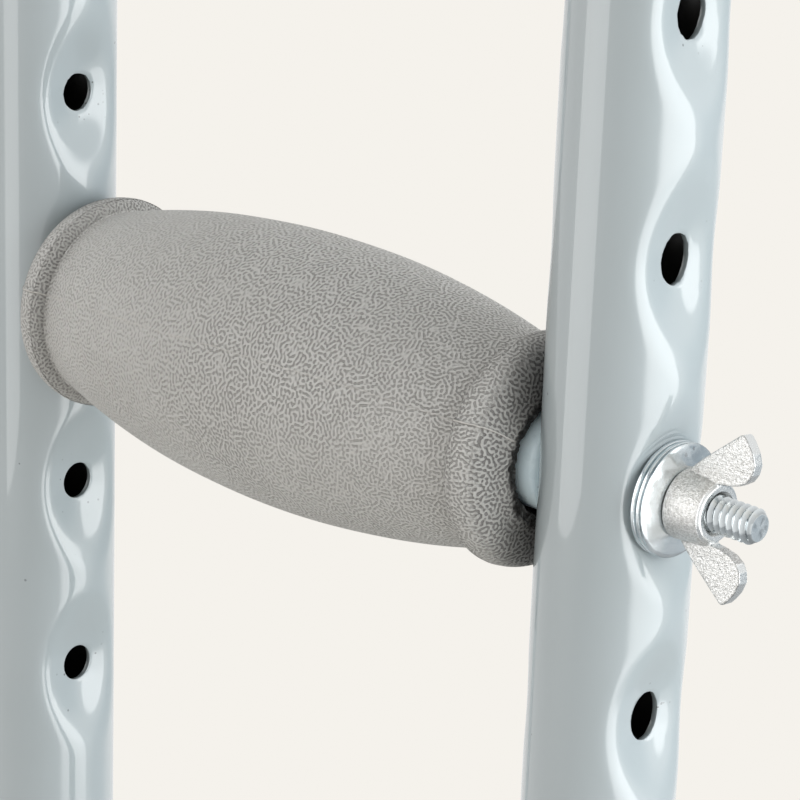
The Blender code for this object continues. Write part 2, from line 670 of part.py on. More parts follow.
def rubber_tip(crutch, origin):
    foot, neck, top = TIP_FOOT_D / 2, TIP_NECK_D / 2, TIP_TOP_D / 2
    bore = LEG_R + FIT_GAP
    outline = [
        (0, TIP_FLOOR),
        (bore, TIP_FLOOR),
        (bore, TIP_HEIGHT),
        (top - TIP_EDGE, TIP_HEIGHT),
        (top, TIP_HEIGHT - TIP_EDGE),
        (neck - TIP_EDGE, TIP_FOOT_HEIGHT + TIP_COLLAR),
        (neck, TIP_FOOT_HEIGHT + TIP_SHOULDER),
        (foot - TIP_EDGE, TIP_FOOT_HEIGHT),
        (foot, TIP_FOOT_HEIGHT - TIP_EDGE),
        (foot, TIP_EDGE),
        (foot - TIP_EDGE, 0),
        (TREAD_OUTER_SHARES[0] * foot, 0),
        (TREAD_OUTER_SHARES[1] * foot, TREAD_DEPTH),
        (TREAD_INNER_SHARES[1] * foot, TREAD_DEPTH),
        (TREAD_INNER_SHARES[0] * foot, 0),
        (0, 0),
    ]
    turned_part(f"{crutch}_rubber_tip", outline, TIP_RUBBER, origin, sides=TUBE_SIDES)
    low = TIP_FLOOR + FIT_GAP
    high = low + DISC_THICKNESS
    disc = [(0, high), (LEG_R, high), (LEG_R, low), (0, low)]
    turned_part(f"{crutch}_tip_disc", disc, ZINC, origin)


def crutch_at(name, x):
    origin = empty(f"{name}_crutch", None, (x, 0, 0))
    frame_tubes(name, origin)
    saddle(name, origin)
    grip(name, origin)
    clamp_hardware(name, origin)
    leg(name, origin)


for crutch_name, share in CRUTCHES:
    crutch_at(crutch_name, share * PAIR_SPACING)
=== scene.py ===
# %% Load the CAD frame
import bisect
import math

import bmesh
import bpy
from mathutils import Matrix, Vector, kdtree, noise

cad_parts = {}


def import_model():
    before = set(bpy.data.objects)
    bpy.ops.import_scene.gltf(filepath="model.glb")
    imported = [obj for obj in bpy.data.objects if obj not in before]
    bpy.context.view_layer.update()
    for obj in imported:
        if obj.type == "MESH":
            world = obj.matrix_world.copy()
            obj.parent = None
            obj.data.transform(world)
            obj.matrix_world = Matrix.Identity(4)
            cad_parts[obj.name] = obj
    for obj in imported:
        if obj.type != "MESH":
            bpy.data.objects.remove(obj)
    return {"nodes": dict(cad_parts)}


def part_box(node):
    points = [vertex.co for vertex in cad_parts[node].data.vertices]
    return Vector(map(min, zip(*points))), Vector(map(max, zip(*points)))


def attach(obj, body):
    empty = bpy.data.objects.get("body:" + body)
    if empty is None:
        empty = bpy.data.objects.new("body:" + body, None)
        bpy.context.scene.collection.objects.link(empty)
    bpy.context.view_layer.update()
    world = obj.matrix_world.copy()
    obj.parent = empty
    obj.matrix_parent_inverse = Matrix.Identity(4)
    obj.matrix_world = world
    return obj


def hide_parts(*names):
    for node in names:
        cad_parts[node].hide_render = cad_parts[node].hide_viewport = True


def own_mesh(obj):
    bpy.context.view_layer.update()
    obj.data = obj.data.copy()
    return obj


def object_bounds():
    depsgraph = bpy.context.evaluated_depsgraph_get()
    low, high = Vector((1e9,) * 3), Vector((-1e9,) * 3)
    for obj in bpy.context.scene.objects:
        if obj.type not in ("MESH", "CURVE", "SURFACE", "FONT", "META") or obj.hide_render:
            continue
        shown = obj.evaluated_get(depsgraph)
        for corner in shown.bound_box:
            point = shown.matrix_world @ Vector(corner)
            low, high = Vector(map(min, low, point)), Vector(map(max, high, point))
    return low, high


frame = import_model()

# %% [markdown]
# # A pair of underarm crutches
# Two equal crutches in glossy pale blue-grey paint, each with a bolted foam grip. The CAD frame gives every
# size, place and joint. This script models each visible piece again in finer detail, in its CAD node's place
# and on the same body. Every mesh is made once, with X counted from the crutch's own middle, and then copied
# to both crutches, because the two are made in the same tools.

cad_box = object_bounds()
SIDES = ("right", "left")
MIDDLE = {side: sum(corner.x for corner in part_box(f"{side}_centre_tube")) / 2 for side in SIDES}


def box(node_name):
    """The corners of one of the right crutch's nodes, with X counted from that crutch's middle."""
    return [corner - Vector((MIDDLE["right"], 0.0, 0.0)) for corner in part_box(f"right_{node_name}")]


def centre(node_name):
    low, high = box(node_name)
    return (low + high) / 2


def placed(name, data):
    """A new object with this data, in the scene."""
    obj = bpy.data.objects.new(name, data)
    bpy.context.scene.collection.objects.link(obj)
    return obj


bow_low, bow_high = box("bow_nut_side")
tube_low, tube_high = box("centre_tube")
TUBE_R = tube_high.x
BOW_X = bow_high.x - TUBE_R
BOW_LOW_X = bow_low.x + TUBE_R
GRIP_Z = centre("grip_bolt").z
MM = 0.001
GAP = 0.3 * MM
print("bow", round(BOW_X / MM, 2), "mm from the middle, grip", round(GRIP_Z / MM, 1), "mm up")

# %% [markdown]
# ## Camera
# The photo looks at one grip from its front right and a little from above, through a long lens. The numbers
# come from fitting the holes, the bolt and the edges of the tubes, so the frame is tilted by two degrees.

# %% Place the camera
AZIMUTH = math.radians(44.01)
ELEVATION = math.radians(18.49)
ROLL = math.radians(2.15)
DISTANCE = 0.4991
LOOK_AT = Vector((MIDDLE["right"] + 0.0227, 0.0, GRIP_Z + 0.0005))


def direction(azimuth, elevation):
    """From the middle of the object towards a camera or a lamp at these angles."""
    flat = math.cos(elevation)
    return Vector((math.sin(azimuth) * flat, -math.cos(azimuth) * flat, math.sin(elevation)))


camera_data = bpy.data.cameras.new("camera")
camera_data.lens = 132.7
camera_data.clip_start = 0.01
camera = placed("camera", camera_data)
back = direction(AZIMUTH, ELEVATION)
level = Vector((math.cos(AZIMUTH), math.sin(AZIMUTH), 0.0))
upward = back.cross(level)
across = math.cos(ROLL) * level + math.sin(ROLL) * upward
upright = math.cos(ROLL) * upward - math.sin(ROLL) * level
axes = Matrix((across, upright, back)).transposed().to_4x4()
camera.matrix_world = Matrix.Translation(LOOK_AT + DISTANCE * back) @ axes
bpy.context.scene.camera = camera
print("camera at", [round(part, 3) for part in camera.matrix_world.translation])

# %% [markdown]
# ## Shader helpers
# Every finish is a Principled shader with patterns worked out from the piece's Object coordinates. A few
# short helpers keep the node trees readable: one adds a node and wires it, the others are the sums, blends
# and ranges that each finish needs.

# %% Make nodes in one line
def node(tree, kind, inputs=None, **settings):
    """Adds a shader node. Each input is a value, or the output socket that feeds it."""
    made = tree.nodes.new(f"ShaderNode{kind}")
    made.location = (180 * len(tree.nodes), 0)
    for name, value in settings.items():
        setattr(made, name, value)
    for socket, value in (inputs or {}).items():
        if isinstance(value, bpy.types.NodeSocket):
            tree.links.new(value, made.inputs[socket])
        else:
            made.inputs[socket].default_value = value
    return made


def maths(operation, a, b=0.0):
    """An operation on two values, of which at least one is a socket. It goes in that socket's tree."""
    tree = (a if isinstance(a, bpy.types.NodeSocket) else b).id_data
    return node(tree, "Math", {0: a, 1: b}, operation=operation).outputs[0]


def times(a, b):
    return maths("MULTIPLY", a, b)


def ranged(value, low, high, to_low=0.0, to_high=1.0):
    """The value's way from low to high, as a smooth way from to_low to to_high."""
    inputs = {0: value, 1: low, 2: high, 3: to_low, 4: to_high}
    return node(value.id_data, "MapRange", inputs, interpolation_type="SMOOTHSTEP").outputs[0]


def tint(share, a, b):
    """Colour a with this share of colour b on it. A colour is a socket or three numbers."""
    a, b = ((*colour, 1.0) if isinstance(colour, tuple) else colour for colour in (a, b))
    return node(share.id_data, "Mix", {0: share, 6: a, 7: b}, data_type="RGBA").outputs[2]


def bump(height, distance, normal=None):
    inputs = {"Height": height, "Distance": distance, "Strength": 1.0}
    if normal:
        inputs["Normal"] = normal
    return node(height.id_data, "Bump", inputs).outputs[0]


def group(name, inputs, outputs):
    """An empty node group with named sockets: its tree, the sockets that come in, the ones that go out."""
    tree = bpy.data.node_groups.new(name, "ShaderNodeTree")
    for way, labels in (("INPUT", inputs), ("OUTPUT", outputs)):
        for label in labels.split():
            kind = "NodeSocketVector" if label == "Vector" else "NodeSocketFloat"
            tree.interface.new_socket(label, in_out=way, socket_type=kind)
    return tree, tree.nodes.new("NodeGroupInput").outputs, tree.nodes.new("NodeGroupOutput").inputs


# %% [markdown]
# ## Shared patterns
# Each pattern is a node group, which every finish that needs it places with its own values. Soft noise is
# a cloudy change in colour, gloss and paint thickness. Worm grain is the winding ridges of moulded foam:
# flat noise of one wavelength in all directions winds like that by itself, and a groove runs wherever it is
# low. Grains are small cells with a random value each, for cast metal. Specks are a few of such cells, for
# dirt and chips.

# %% Build the pattern groups
GROOVE, RIDGE = 0.34, 0.54  # values of the noise at a groove's floor and where a ridge starts

SOFT_NOISE, come, go = group("soft_noise", "Vector Scale Detail Low High", "Mask")
clouds = node(SOFT_NOISE, "TexNoise", {"Vector": come[0], "Scale": come[1], "Detail": come[2]})
SOFT_NOISE.links.new(ranged(clouds.outputs["Fac"], come[3], come[4]), go[0])

WORM_GRAIN, come, go = group("worm_grain", "Vector Scale", "Height")
inputs = {"Vector": come[0], "Scale": come[1], "Frequency": 2.0, "Anisotropy": 0.0}
waves = node(WORM_GRAIN, "TexGabor", inputs, gabor_type="2D")
WORM_GRAIN.links.new(ranged(waves.outputs["Value"], GROOVE, RIDGE), go[0])

GRAINS, come, go = group("grains", "Vector Scale", "Height Random")
cells = node(GRAINS, "TexVoronoi", {"Vector": come[0], "Scale": come[1]})
GRAINS.links.new(cells.outputs["Distance"], go[0])
split = node(GRAINS, "SeparateColor", {0: cells.outputs["Color"]})
GRAINS.links.new(split.outputs[0], go[1])

SPECKS, come, go = group("specks", "Vector Scale Size Share", "Mask")
cells = node(SPECKS, "TexVoronoi", {"Vector": come[0], "Scale": come[1]})
dot = maths("LESS_THAN", cells.outputs["Distance"], come[2])
split = node(SPECKS, "SeparateColor", {0: cells.outputs["Color"]})
chosen = maths("LESS_THAN", split.outputs[1], come[3])
SPECKS.links.new(times(dot, chosen), go[0])


class Finish:
    """A Principled material under way, with its constants set and its patterns still to be wired."""

    def __init__(self, name, colour, **constants):
        self.material = bpy.data.materials.new(name)
        self.material.use_nodes = True
        self.tree = self.material.node_tree
        self.shader = self.tree.nodes["Principled BSDF"]
        self.at = node(self.tree, "TexCoord").outputs["Object"]
        self.colour = colour
        self.material.diffuse_color = (*colour, 1.0)
        for socket, value in constants.items():
            self.shader.inputs[socket.replace("_", " ")].default_value = value

    def pattern(self, tree, **inputs):
        """The outputs of a pattern group, laid on the Object coordinates unless it gets another Vector."""
        return node(self.tree, "Group", {"Vector": self.at, **inputs}, node_tree=tree).outputs

    def clouds(self, scale, detail=2.0, low=0.35, high=0.65, at=None):
        inputs = {"Vector": at or self.at, "Scale": scale, "Detail": detail, "Low": low, "High": high}
        return self.pattern(SOFT_NOISE, **inputs)["Mask"]

    def specks(self, scale, size, share):
        return self.pattern(SPECKS, Scale=scale, Size=size, Share=share)["Mask"]

    def dotted(self, colour, dots, scale, size, share, strength):
        """The colour with specks of another colour on it."""
        return tint(times(self.specks(scale, size, share), strength), colour, dots)

    def attribute(self, name):
        return node(self.tree, "Attribute", attribute_name=name).outputs["Fac"]

    def wire(self, **sockets):
        """Wires patterns to the shader's sockets, and gives back the material."""
        for name, socket in sockets.items():
            self.tree.links.new(socket, self.shader.inputs[name.replace("_", " ")])
        return self.material


print("pattern groups:", [tree.name for tree in (SOFT_NOISE, WORM_GRAIN, GRAINS, SPECKS)])

# %% [markdown]
# ## Paint
# The tubes are stove-enamelled: a smooth blue-grey colour coat with a glassy skin, so reflections are sharp
# but wander a little where the paint flowed. A coat layer over a softer base gives both at once. Tiny dark
# specks gather round the drilled holes, where paint chips. No paint reaches the inside of a tube, so the
# mesh marks it: there it is dull, and its colour is painted near black as the shade inside the tube.

# %% Mix the paint
def enamel():
    made = Finish(
        "pale_blue_grey_enamel", (0.388, 0.445, 0.466), Roughness=0.32, Coat_Roughness=0.035, Coat_IOR=1.7
    )
    colour = tint(made.clouds(22.0), made.colour, (0.408, 0.465, 0.489))
    chips = times(made.specks(900.0, 0.20, 0.13), made.attribute("near_hole"))
    colour = tint(times(chips, 0.8), colour, (0.05, 0.05, 0.05))
    colour = made.dotted(colour, (0.1, 0.11, 0.12), 260.0, 0.07, 0.22, 0.6)
    flow = bump(made.clouds(210.0, 1.0, 0.2, 0.8), 0.022 * MM)
    flow = bump(made.clouds(45.0, 1.0, 0.2, 0.8), 0.07 * MM, flow)
    # Painted shade: the inside of the tube is coloured near black.
    inside = ranged(made.attribute("inside"), 0.75, 1.0)
    colour = tint(inside, colour, (0.02, 0.019, 0.018))
    return made.wire(Base_Color=colour, Coat_Weight=maths("SUBTRACT", 1.0, inside), Normal=flow)


ENAMEL = enamel()
print("paint has", len(ENAMEL.node_tree.nodes), "nodes")

# %% [markdown]
# ## Foam, plastics and rubber
# The grip is moulded foam with a leather-like skin of winding ridges, darker in the grooves, with painted
# shade next to the tube, on the end faces, in the crease by each flange and in the torn mouth. The skin is
# flat noise on the mesh's own map, which unrolls the sleeve, and on the end faces it is laid on from the
# side. The line where the mould's halves met lies nearly in a plane through the axis, so it is worked out
# from that plane. The core is a smooth plastic with faint smudges. The pad, the saddle, the plugs and the
# tip are plainer, but each has its own grain and dust.

# %% Mix the foam and the other soft finishes
SEAM_TURN = math.radians(21.5)  # how far the mould line lies above the front, at the grip's middle
SEAM_TWIST = math.radians(9) / 0.1  # the sleeve got twisted when it was pushed on


def mould_line(made):
    """1 along the line where the two halves of the grip's mould met, and 0 away from it."""
    tree = made.tree
    split = node(tree, "SeparateXYZ", {0: made.at}).outputs
    rise = maths("SUBTRACT", split["Z"], GRIP_Z)
    wander = times(maths("SUBTRACT", made.clouds(140.0), 0.5), 0.35 * MM)
    cosine, sine = math.cos(SEAM_TURN), math.sin(SEAM_TURN)
    off = maths("ADD", times(split["Y"], sine), times(rise, cosine))
    along = maths("SUBTRACT", times(split["Y"], cosine), times(rise, sine))
    twist = times(made.attribute("from_middle"), SEAM_TWIST)
    off = maths("ADD", off, times(twist, along))
    off = maths("ABSOLUTE", maths("ADD", off, wander))
    return ranged(off, 0.06 * MM, 0.30 * MM, 1.0, 0.0)


def grip_foam():
    made = Finish("warm_grey_foam", (0.62, 0.615, 0.60), Specular_IOR_Level=0.3)
    tree = made.tree
    split = node(tree, "SeparateXYZ", {0: made.at}).outputs
    sideways = node(tree, "CombineXYZ", {0: split["Y"], 1: split["Z"]}).outputs[0]
    unrolled = node(tree, "UVMap", uv_map="skin").outputs[0]
    end_face = made.attribute("end_face")
    round_it, on_ends = (made.pattern(WORM_GRAIN, Vector=at, Scale=620.0)[0] for at in (unrolled, sideways))
    worms = node(tree, "Mix", {0: end_face, 2: round_it, 3: on_ends}, data_type="FLOAT").outputs[0]
    strength = ranged(made.clouds(38.0, 1.0, 0.3, 0.6), 0.0, 1.0, 0.8, 1.0)
    strength = times(strength, made.attribute("crisp"))
    grooves = times(maths("SUBTRACT", 1.0, worms), strength)
    line = times(mould_line(made), made.attribute("seam"))
    ridges = maths("MAXIMUM", maths("SUBTRACT", 1.0, grooves), line)
    # Painted shade: the end faces and the crease by each flange get darker grooves and ridges.
    shaded = maths("MAXIMUM", end_face, made.attribute("crease"))
    groove = tint(shaded, (0.36, 0.355, 0.34), (0.20, 0.195, 0.19))
    ridge = tint(shaded, made.colour, (0.47, 0.465, 0.45))
    colour = tint(ridges, groove, ridge)
    colour = tint(times(made.clouds(24.0), 0.25), colour, (0.48, 0.47, 0.45))
    colour = tint(times(line, 0.9), colour, (0.68, 0.66, 0.63))
    colour = made.dotted(colour, (0.7, 0.68, 0.64), 700.0, 0.16, 0.06, 0.3)
    # Painted shadow of the tube, on the foam next to it.
    shade_near_tube = times(made.attribute("painted_shade"), ranged(ridges, 0.0, 1.0, 0.95, 0.7))
    colour = tint(shade_near_tube, colour, (0.06, 0.058, 0.056))
    # Painted shade, near black, in the torn mouth.
    colour = tint(made.attribute("torn_mouth_shade"), colour, (0.028, 0.026, 0.024))
    fine = bump(made.clouds(3200.0, 3.0, 0.2, 0.8), 0.04 * MM)
    height = maths("ADD", ridges, times(line, 0.7))
    return made.wire(
        Base_Color=colour, Roughness=ranged(ridges, 0.0, 1.0, 0.85, 0.58),
        Normal=bump(height, 0.32 * MM, fine),
    )


def core_plastic():
    made = Finish("blue_grey_core_plastic", (0.75, 0.91, 0.99), Specular_IOR_Level=0.5)
    colour = tint(made.clouds(160.0, 3.0), made.colour, (0.79, 0.94, 1.0))
    colour = made.dotted(colour, (0.10, 0.12, 0.14), 420.0, 0.22, 0.12, 0.55)
    return made.wire(
        Base_Color=colour, Roughness=ranged(made.clouds(300.0, 3.0), 0.0, 1.0, 0.26, 0.42),
        Normal=bump(made.clouds(900.0, 2.0, 0.2, 0.8), 0.02 * MM),
    )


def moulding(name, colour, lighter, grain, depth_mm, low, high, dust):
    """A plain moulded rubber or plastic: cloudy colour, a fine grain and a little pale dust."""
    made = Finish(name, colour, Specular_IOR_Level=0.4)
    shade = tint(made.clouds(28.0, 4.0), colour, lighter)
    return made.wire(
        Base_Color=made.dotted(shade, (0.55, 0.53, 0.50), 600.0, 0.15, dust, 0.5),
        Roughness=ranged(made.clouds(60.0, 4.0), 0.0, 1.0, low, high),
        Normal=bump(made.clouds(grain, 3.0, 0.25, 0.75), depth_mm * MM),
    )


GRIP_FOAM = grip_foam()
CORE_PLASTIC = core_plastic()
SADDLE_PLASTIC, PLUG_PLASTIC, PAD_RUBBER, TIP_RUBBER = [moulding(*row) for row in (
    ("grey_saddle_plastic", (0.19, 0.20, 0.21), (0.22, 0.23, 0.24), 1600.0, 0.03, 0.38, 0.52, 0.04),
    ("dark_plug_plastic", (0.045, 0.045, 0.05), (0.06, 0.06, 0.065), 1400.0, 0.03, 0.40, 0.55, 0.06),
    ("grey_pad_rubber", (0.33, 0.31, 0.29), (0.37, 0.35, 0.325), 1100.0, 0.10, 0.68, 0.84, 0.10),
    ("grey_tip_rubber", (0.20, 0.19, 0.18), (0.25, 0.24, 0.225), 1300.0, 0.05, 0.62, 0.80, 0.14),
)]
print("foam has", len(GRIP_FOAM.node_tree.nodes), "nodes")

# %% [markdown]
# ## Metals
# The washers, bolt, rivets and pins are steel with bright zinc plate: nearly white, with faint marks from
# rolling and handling, and painted shade down in the thread's roots. The wing nut is a raw zinc casting. Its
# flat faces came out of a sandy mould and sparkle, while the rims and the end ring are rubbed smooth, so the
# mesh tells the two apart. A band of painted shade runs along the wings' rounded edges.

# %% Mix the metals
def zinc_plate(name, colour, low, high):
    made = Finish(name, colour, Metallic=1.0)
    tree = made.tree
    rolled = node(tree, "Mapping", {"Vector": made.at, "Scale": (2600.0, 500.0, 500.0)}).outputs[0]
    marks = made.clouds(1.0, 3.0, 0.3, 0.7, rolled)
    shade = tint(made.clouds(240.0, 3.0), colour, tuple(0.88 * part for part in colour))
    shade = made.dotted(shade, (0.35, 0.34, 0.33), 500.0, 0.18, 0.10, 0.4)
    # Painted shade down in the thread's roots.
    shade = tint(times(made.attribute("painted_shade"), 0.5), shade, (0.24, 0.26, 0.27))
    rough = ranged(marks, 0.0, 1.0, low, high)
    return made.wire(Base_Color=shade, Roughness=rough, Normal=bump(marks, 0.008 * MM))


def cast_zinc():
    made = Finish("cast_zinc", (0.60, 0.59, 0.57), Metallic=1.0)
    rubbed = made.attribute("rubbed")
    sand = made.pattern(GRAINS, Scale=4600.0)
    dull = tint(sand["Random"], (0.50, 0.49, 0.47), (0.85, 0.845, 0.83))
    shade = tint(rubbed, dull, (0.80, 0.82, 0.82))
    # Painted shade: a dark band along the wings' rounded edges.
    shade = tint(times(made.attribute("corner"), 0.6), shade, (0.25, 0.26, 0.26))
    rough = ranged(rubbed, 0.0, 1.0, 0.36, 0.20)
    rough = maths("ADD", rough, times(sand["Random"], 0.12))
    relief = maths("ADD", sand["Height"], made.clouds(1500.0, 3.0, 0.2, 0.8))
    relief = times(relief, ranged(rubbed, 0.0, 1.0, 1.0, 0.08))
    return made.wire(Base_Color=shade, Roughness=rough, Normal=bump(relief, 0.07 * MM))


ZINC = zinc_plate("zinc_plated_steel", (0.80, 0.85, 0.87), 0.13, 0.26)
SPRING_STEEL = zinc_plate("spring_steel", (0.45, 0.46, 0.48), 0.24, 0.40)
CAST_ZINC = cast_zinc()
print("finishes:", len(bpy.data.materials), "materials with those of the frame")

# %% [markdown]
# ## Mesh helpers
# Nearly all of a crutch is turned, so most pieces start as a half outline that is spun about an axis. Sharp
# corners never look right in a render, so the outline's corners are rounded first. A mesh that needs
# modifiers is put on a short-lived object, and only the result is kept.

# %% Turn, round, cut and finish a mesh
def rounded(corners, segments=4, unit=MM):
    """Outline points (radius, height) from corners (radius, height, cut), each rounded over its cut."""
    corners = [[part * unit for part in corner] for corner in corners]
    points = []
    for i, (radius, height, cut) in enumerate(corners):
        here = Vector((radius, height))
        if cut == 0 or i in (0, len(corners) - 1):
            points.append(here)
            continue
        before = Vector(corners[i - 1][:2]) - here
        after = Vector(corners[i + 1][:2]) - here
        start, end = here + before.normalized() * cut, here + after.normalized() * cut
        for step in range(segments + 1):
            share = step / segments
            points.append(start * (1 - share) ** 2 + here * 2 * share * (1 - share) + end * share**2)
    return [(point.x, point.y) for point in points]


def spun(outline, steps, ring=False, turns=1, pitch=0.0):
    """An outline spun about Z, with seams and poles closed.

    A ring has its two ends joined first. A pitch makes each turn rise, as in a thread.
    """
    work = bmesh.new()
    verts = [work.verts.new((radius, 0.0, height)) for radius, height in outline]
    for pair in zip(verts, verts[1:] + verts[:1] if ring else verts[1:]):
        work.edges.new(pair)
    bmesh.ops.spin(
        work, geom=work.verts[:] + work.edges[:], cent=(0, 0, 0), axis=(0, 0, 1),
        dvec=(0, 0, pitch / steps), angle=math.tau * turns, steps=steps * turns, use_merge=not pitch,
    )
    bmesh.ops.remove_doubles(work, verts=work.verts, dist=(0.002 if pitch else 0.0005) * MM)
    return work


def mesh_from(work, name):
    """A mesh from a finished bmesh, with its faces outwards."""
    bmesh.ops.recalc_face_normals(work, faces=work.faces)
    mesh = bpy.data.meshes.new(name)
    work.to_mesh(mesh)
    work.free()
    return mesh


def turned(name, outline, steps=48, axis="Z", at=(0, 0, 0), ring=False):
    """A turned mesh whose heights run along an axis, counted from a point on it."""
    mesh = mesh_from(spun(outline, steps, ring), name)
    turn = {"X": Matrix.Rotation(math.pi / 2, 4, "Y"), "Y": Matrix.Rotation(-math.pi / 2, 4, "X")}
    mesh.transform(Matrix.Translation(at) @ turn.get(axis, Matrix.Identity(4)))
    return mesh


def applied(mesh, *modifiers):
    """The mesh after these modifiers, each given as its kind and its settings."""
    obj = placed(mesh.name, mesh)
    for kind, settings in modifiers:
        modifier = obj.modifiers.new(kind.title(), kind)
        for name, value in settings.items():
            setattr(modifier, name, value)
    graph = bpy.context.evaluated_depsgraph_get()
    final = obj.evaluated_get(graph)
    made = bpy.data.meshes.new_from_object(final, preserve_all_data_layers=True, depsgraph=graph)
    bpy.data.objects.remove(obj)
    return made


def cut(mesh, *cutters):
    """The mesh with other meshes taken out of it."""
    for cutter in cutters:
        tool = placed("cutter", cutter)
        mesh = applied(mesh, ("BOOLEAN", {"object": tool, "operation": "DIFFERENCE", "solver": "EXACT"}))
        bpy.data.objects.remove(tool)
    return mesh


def joined(name, *meshes):
    work = bmesh.new()
    for mesh in meshes:
        work.from_mesh(mesh)
    return mesh_from(work, name)


def soft_edge(width, segments=2, angle=35):
    """A Bevel for the edges that turn by more than this angle."""
    settings = {"width": width, "segments": segments, "limit_method": "ANGLE"}
    return "BEVEL", {**settings, "angle_limit": math.radians(angle), "use_clamp_overlap": True}


def fused(mesh, voxel):
    """The overlapping bodies of a mesh as one, with soft inside corners."""
    remesh = {"mode": "VOXEL", "voxel_size": voxel}
    return applied(mesh, ("REMESH", remesh), ("SMOOTH", {"factor": 0.5, "iterations": 4}))


def marks(mesh, *names):
    """New numbers on a mesh's points. All are added first, as adding one moves the data of the rest."""
    for name in names:
        mesh.attributes.new(name, "FLOAT", "POINT")
    return {name: mesh.attributes[name].data for name in names}


def smooth(share):
    share = min(max(share, 0.0), 1.0)
    return share * share * (3 - 2 * share)


def piece(name, mesh, finish, node_name, body="frame"):
    """Copies a finished mesh to both crutches, where it rides on a body and stands for a CAD node."""
    made = []
    for side in SIDES:
        own = mesh.copy()
        own.transform(Matrix.Translation((MIDDLE[side], 0, 0)))
        own.materials.clear()
        own.materials.append(finish)
        own.shade_smooth()
        own.set_sharp_from_angle(angle=math.radians(42))
        obj = placed(f"{side}_{name}", own)
        own.name = obj.name
        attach(obj, f"{side}_{body}")
        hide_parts(f"{side}_{node_name}")
        made.append(obj)
    print(f"{name}: {sum(len(face.vertices) - 2 for face in mesh.polygons)} triangles")
    return made


# %% [markdown]
# ## Painted tubes
# The bows, the centre tube and the leg are steel tube with drilled holes. A Boolean would leave long thin
# faces round each hole, and they would spoil the mirror-like paint. So a line of points is spun into an
# even grid, the cells of each hole are taken out, and the points around them are drawn onto its rim, which
# is a circle or an upright oval. Solidify gives the wall, and Bevel the soft edge of painted metal.

# %% Draw grid tubes with holes
HOLE_CELLS = 4  # grid cells from a hole's centre to its rim
BLEND_CELLS = 8  # cells from its centre to where the grid is even again
RAGGED = 0.08  # how uneven a punched rim is, as a share of the hole's radius


def even(low, high, step):
    """Heights from low, evenly and about a step apart, up to just before high."""
    count = max(1, round((high - low) / step))
    return [low + (high - low) * i / count for i in range(count)]


def ring_heights(low, high, coarse, step, rows):
    """Ring heights, a fine step apart along each row of holes, given as (lowest, highest, cells beyond)."""
    heights = []
    at = low
    for lowest, highest, beyond in rows:
        count = round((highest - lowest) / step) + 2 * beyond
        start = lowest - beyond * step
        heights += even(at, start, coarse) + [start + i * step for i in range(count)]
        at = start + count * step
    return heights + even(at, high, coarse) + [high]


def grid_tube(radius, heights, sides, holes):
    """A tube surface with holes, each given as (height, facing in degrees, radius, height over width)."""
    work = spun([(radius, height) for height in heights], sides)
    near_hole = work.verts.layers.float.new("near_hole")
    step = math.tau / sides
    grid = {}
    for vert in work.verts:
        column = round(math.atan2(vert.co.y, vert.co.x) / step) % sides
        grid[column, bisect.bisect(heights, vert.co.z + 0.01 * MM) - 1] = vert
    gone = []
    for height, facing, hole_r, tall in holes:
        column = round(math.radians(facing) / step)
        row = min(range(len(heights)), key=lambda j: abs(heights[j] - height))
        for i in range(-BLEND_CELLS, BLEND_CELLS + 1):
            for j in range(-BLEND_CELLS, BLEND_CELLS + 1):
                vert = grid[(column + i) % sides, row + j]
                cells = max(abs(i), abs(j))
                if cells < HOLE_CELLS:
                    gone.append(vert)
                    continue
                share = smooth((BLEND_CELLS - cells) / (BLEND_CELLS - HOLE_CELLS))
                reach = hole_r * cells / HOLE_CELLS / math.hypot(i, j)
                if cells == HOLE_CELLS:
                    reach *= 1 + RAGGED * noise.noise(Vector((i, j, 1000 * height)))
                turn = math.asin(reach * i / radius) * share + i * step * (1 - share)
                turn += math.radians(facing)
                up = reach * tall * j * share + (heights[row + j] - height) * (1 - share)
                vert.co = (radius * math.cos(turn), radius * math.sin(turn), height + up)
                vert[near_hole] = max(vert[near_hole], share)
    bmesh.ops.delete(work, geom=gone, context="VERTS")
    return work


def walled(work, name, wall):
    """The tube surface with its wall turned inwards, the inner face marked, and the rims softened."""
    outer = len(work.verts)
    settings = {"thickness": wall, "offset": -1.0, "use_even_offset": False}
    mesh = applied(mesh_from(work, name), ("SOLIDIFY", settings))
    inside = marks(mesh, "inside")["inside"]
    for i in range(outer, len(mesh.vertices)):
        inside[i].value = 1.0
    return applied(mesh, soft_edge(0.28 * MM))


# %% [markdown]
# ## Bows
# At each bolt hole the bow is pressed flat from both sides, which leaves a row of shallow bowls with the
# tube's full width between them. The bowl is a wave up the tube that also rises gently to its sides, and a
# soft minimum of bowl and round tube joins the two without a crease. The press also stretches the holes
# upright, most on the outer face. Below the grip the bows close in on the centre tube.

# %% Press and bend the bows
PITCH = 38.1 * MM
HOLE_R = 3.15 * MM
HOLE_TALL = {0: 1.30, 180: 1.10}  # of a hole's outer and inner face, against its width
WALL = 1.4 * MM
PRESS_DEPTH = 4.5 * MM
BOWL_SHARPNESS = 0.53
BOWL_RISE = 15.5 * MM  # radius of the bowl across the tube
SOFTNESS = 4.0 * MM
SPREAD_HEIGHT = 0.150
BOW_SIDES = 88
GRIP_HOLES = [GRIP_Z + PITCH * i for i in (-2, -1, 0, 1, 2)]
RIVETS = [centre(f"frame_rivet_{word}").z for word in ("lower", "upper")]
PIN_Z = centre("saddle_pin_nut_side").z
RIVET_HOLE_R = 3.3 * MM
PIN_HOLE_R = 2.8 * MM


def soft_min(a, b):
    near = max(0.0, 1 - abs(a - b) / SOFTNESS)
    return min(a, b) - near**2 * SOFTNESS / 4


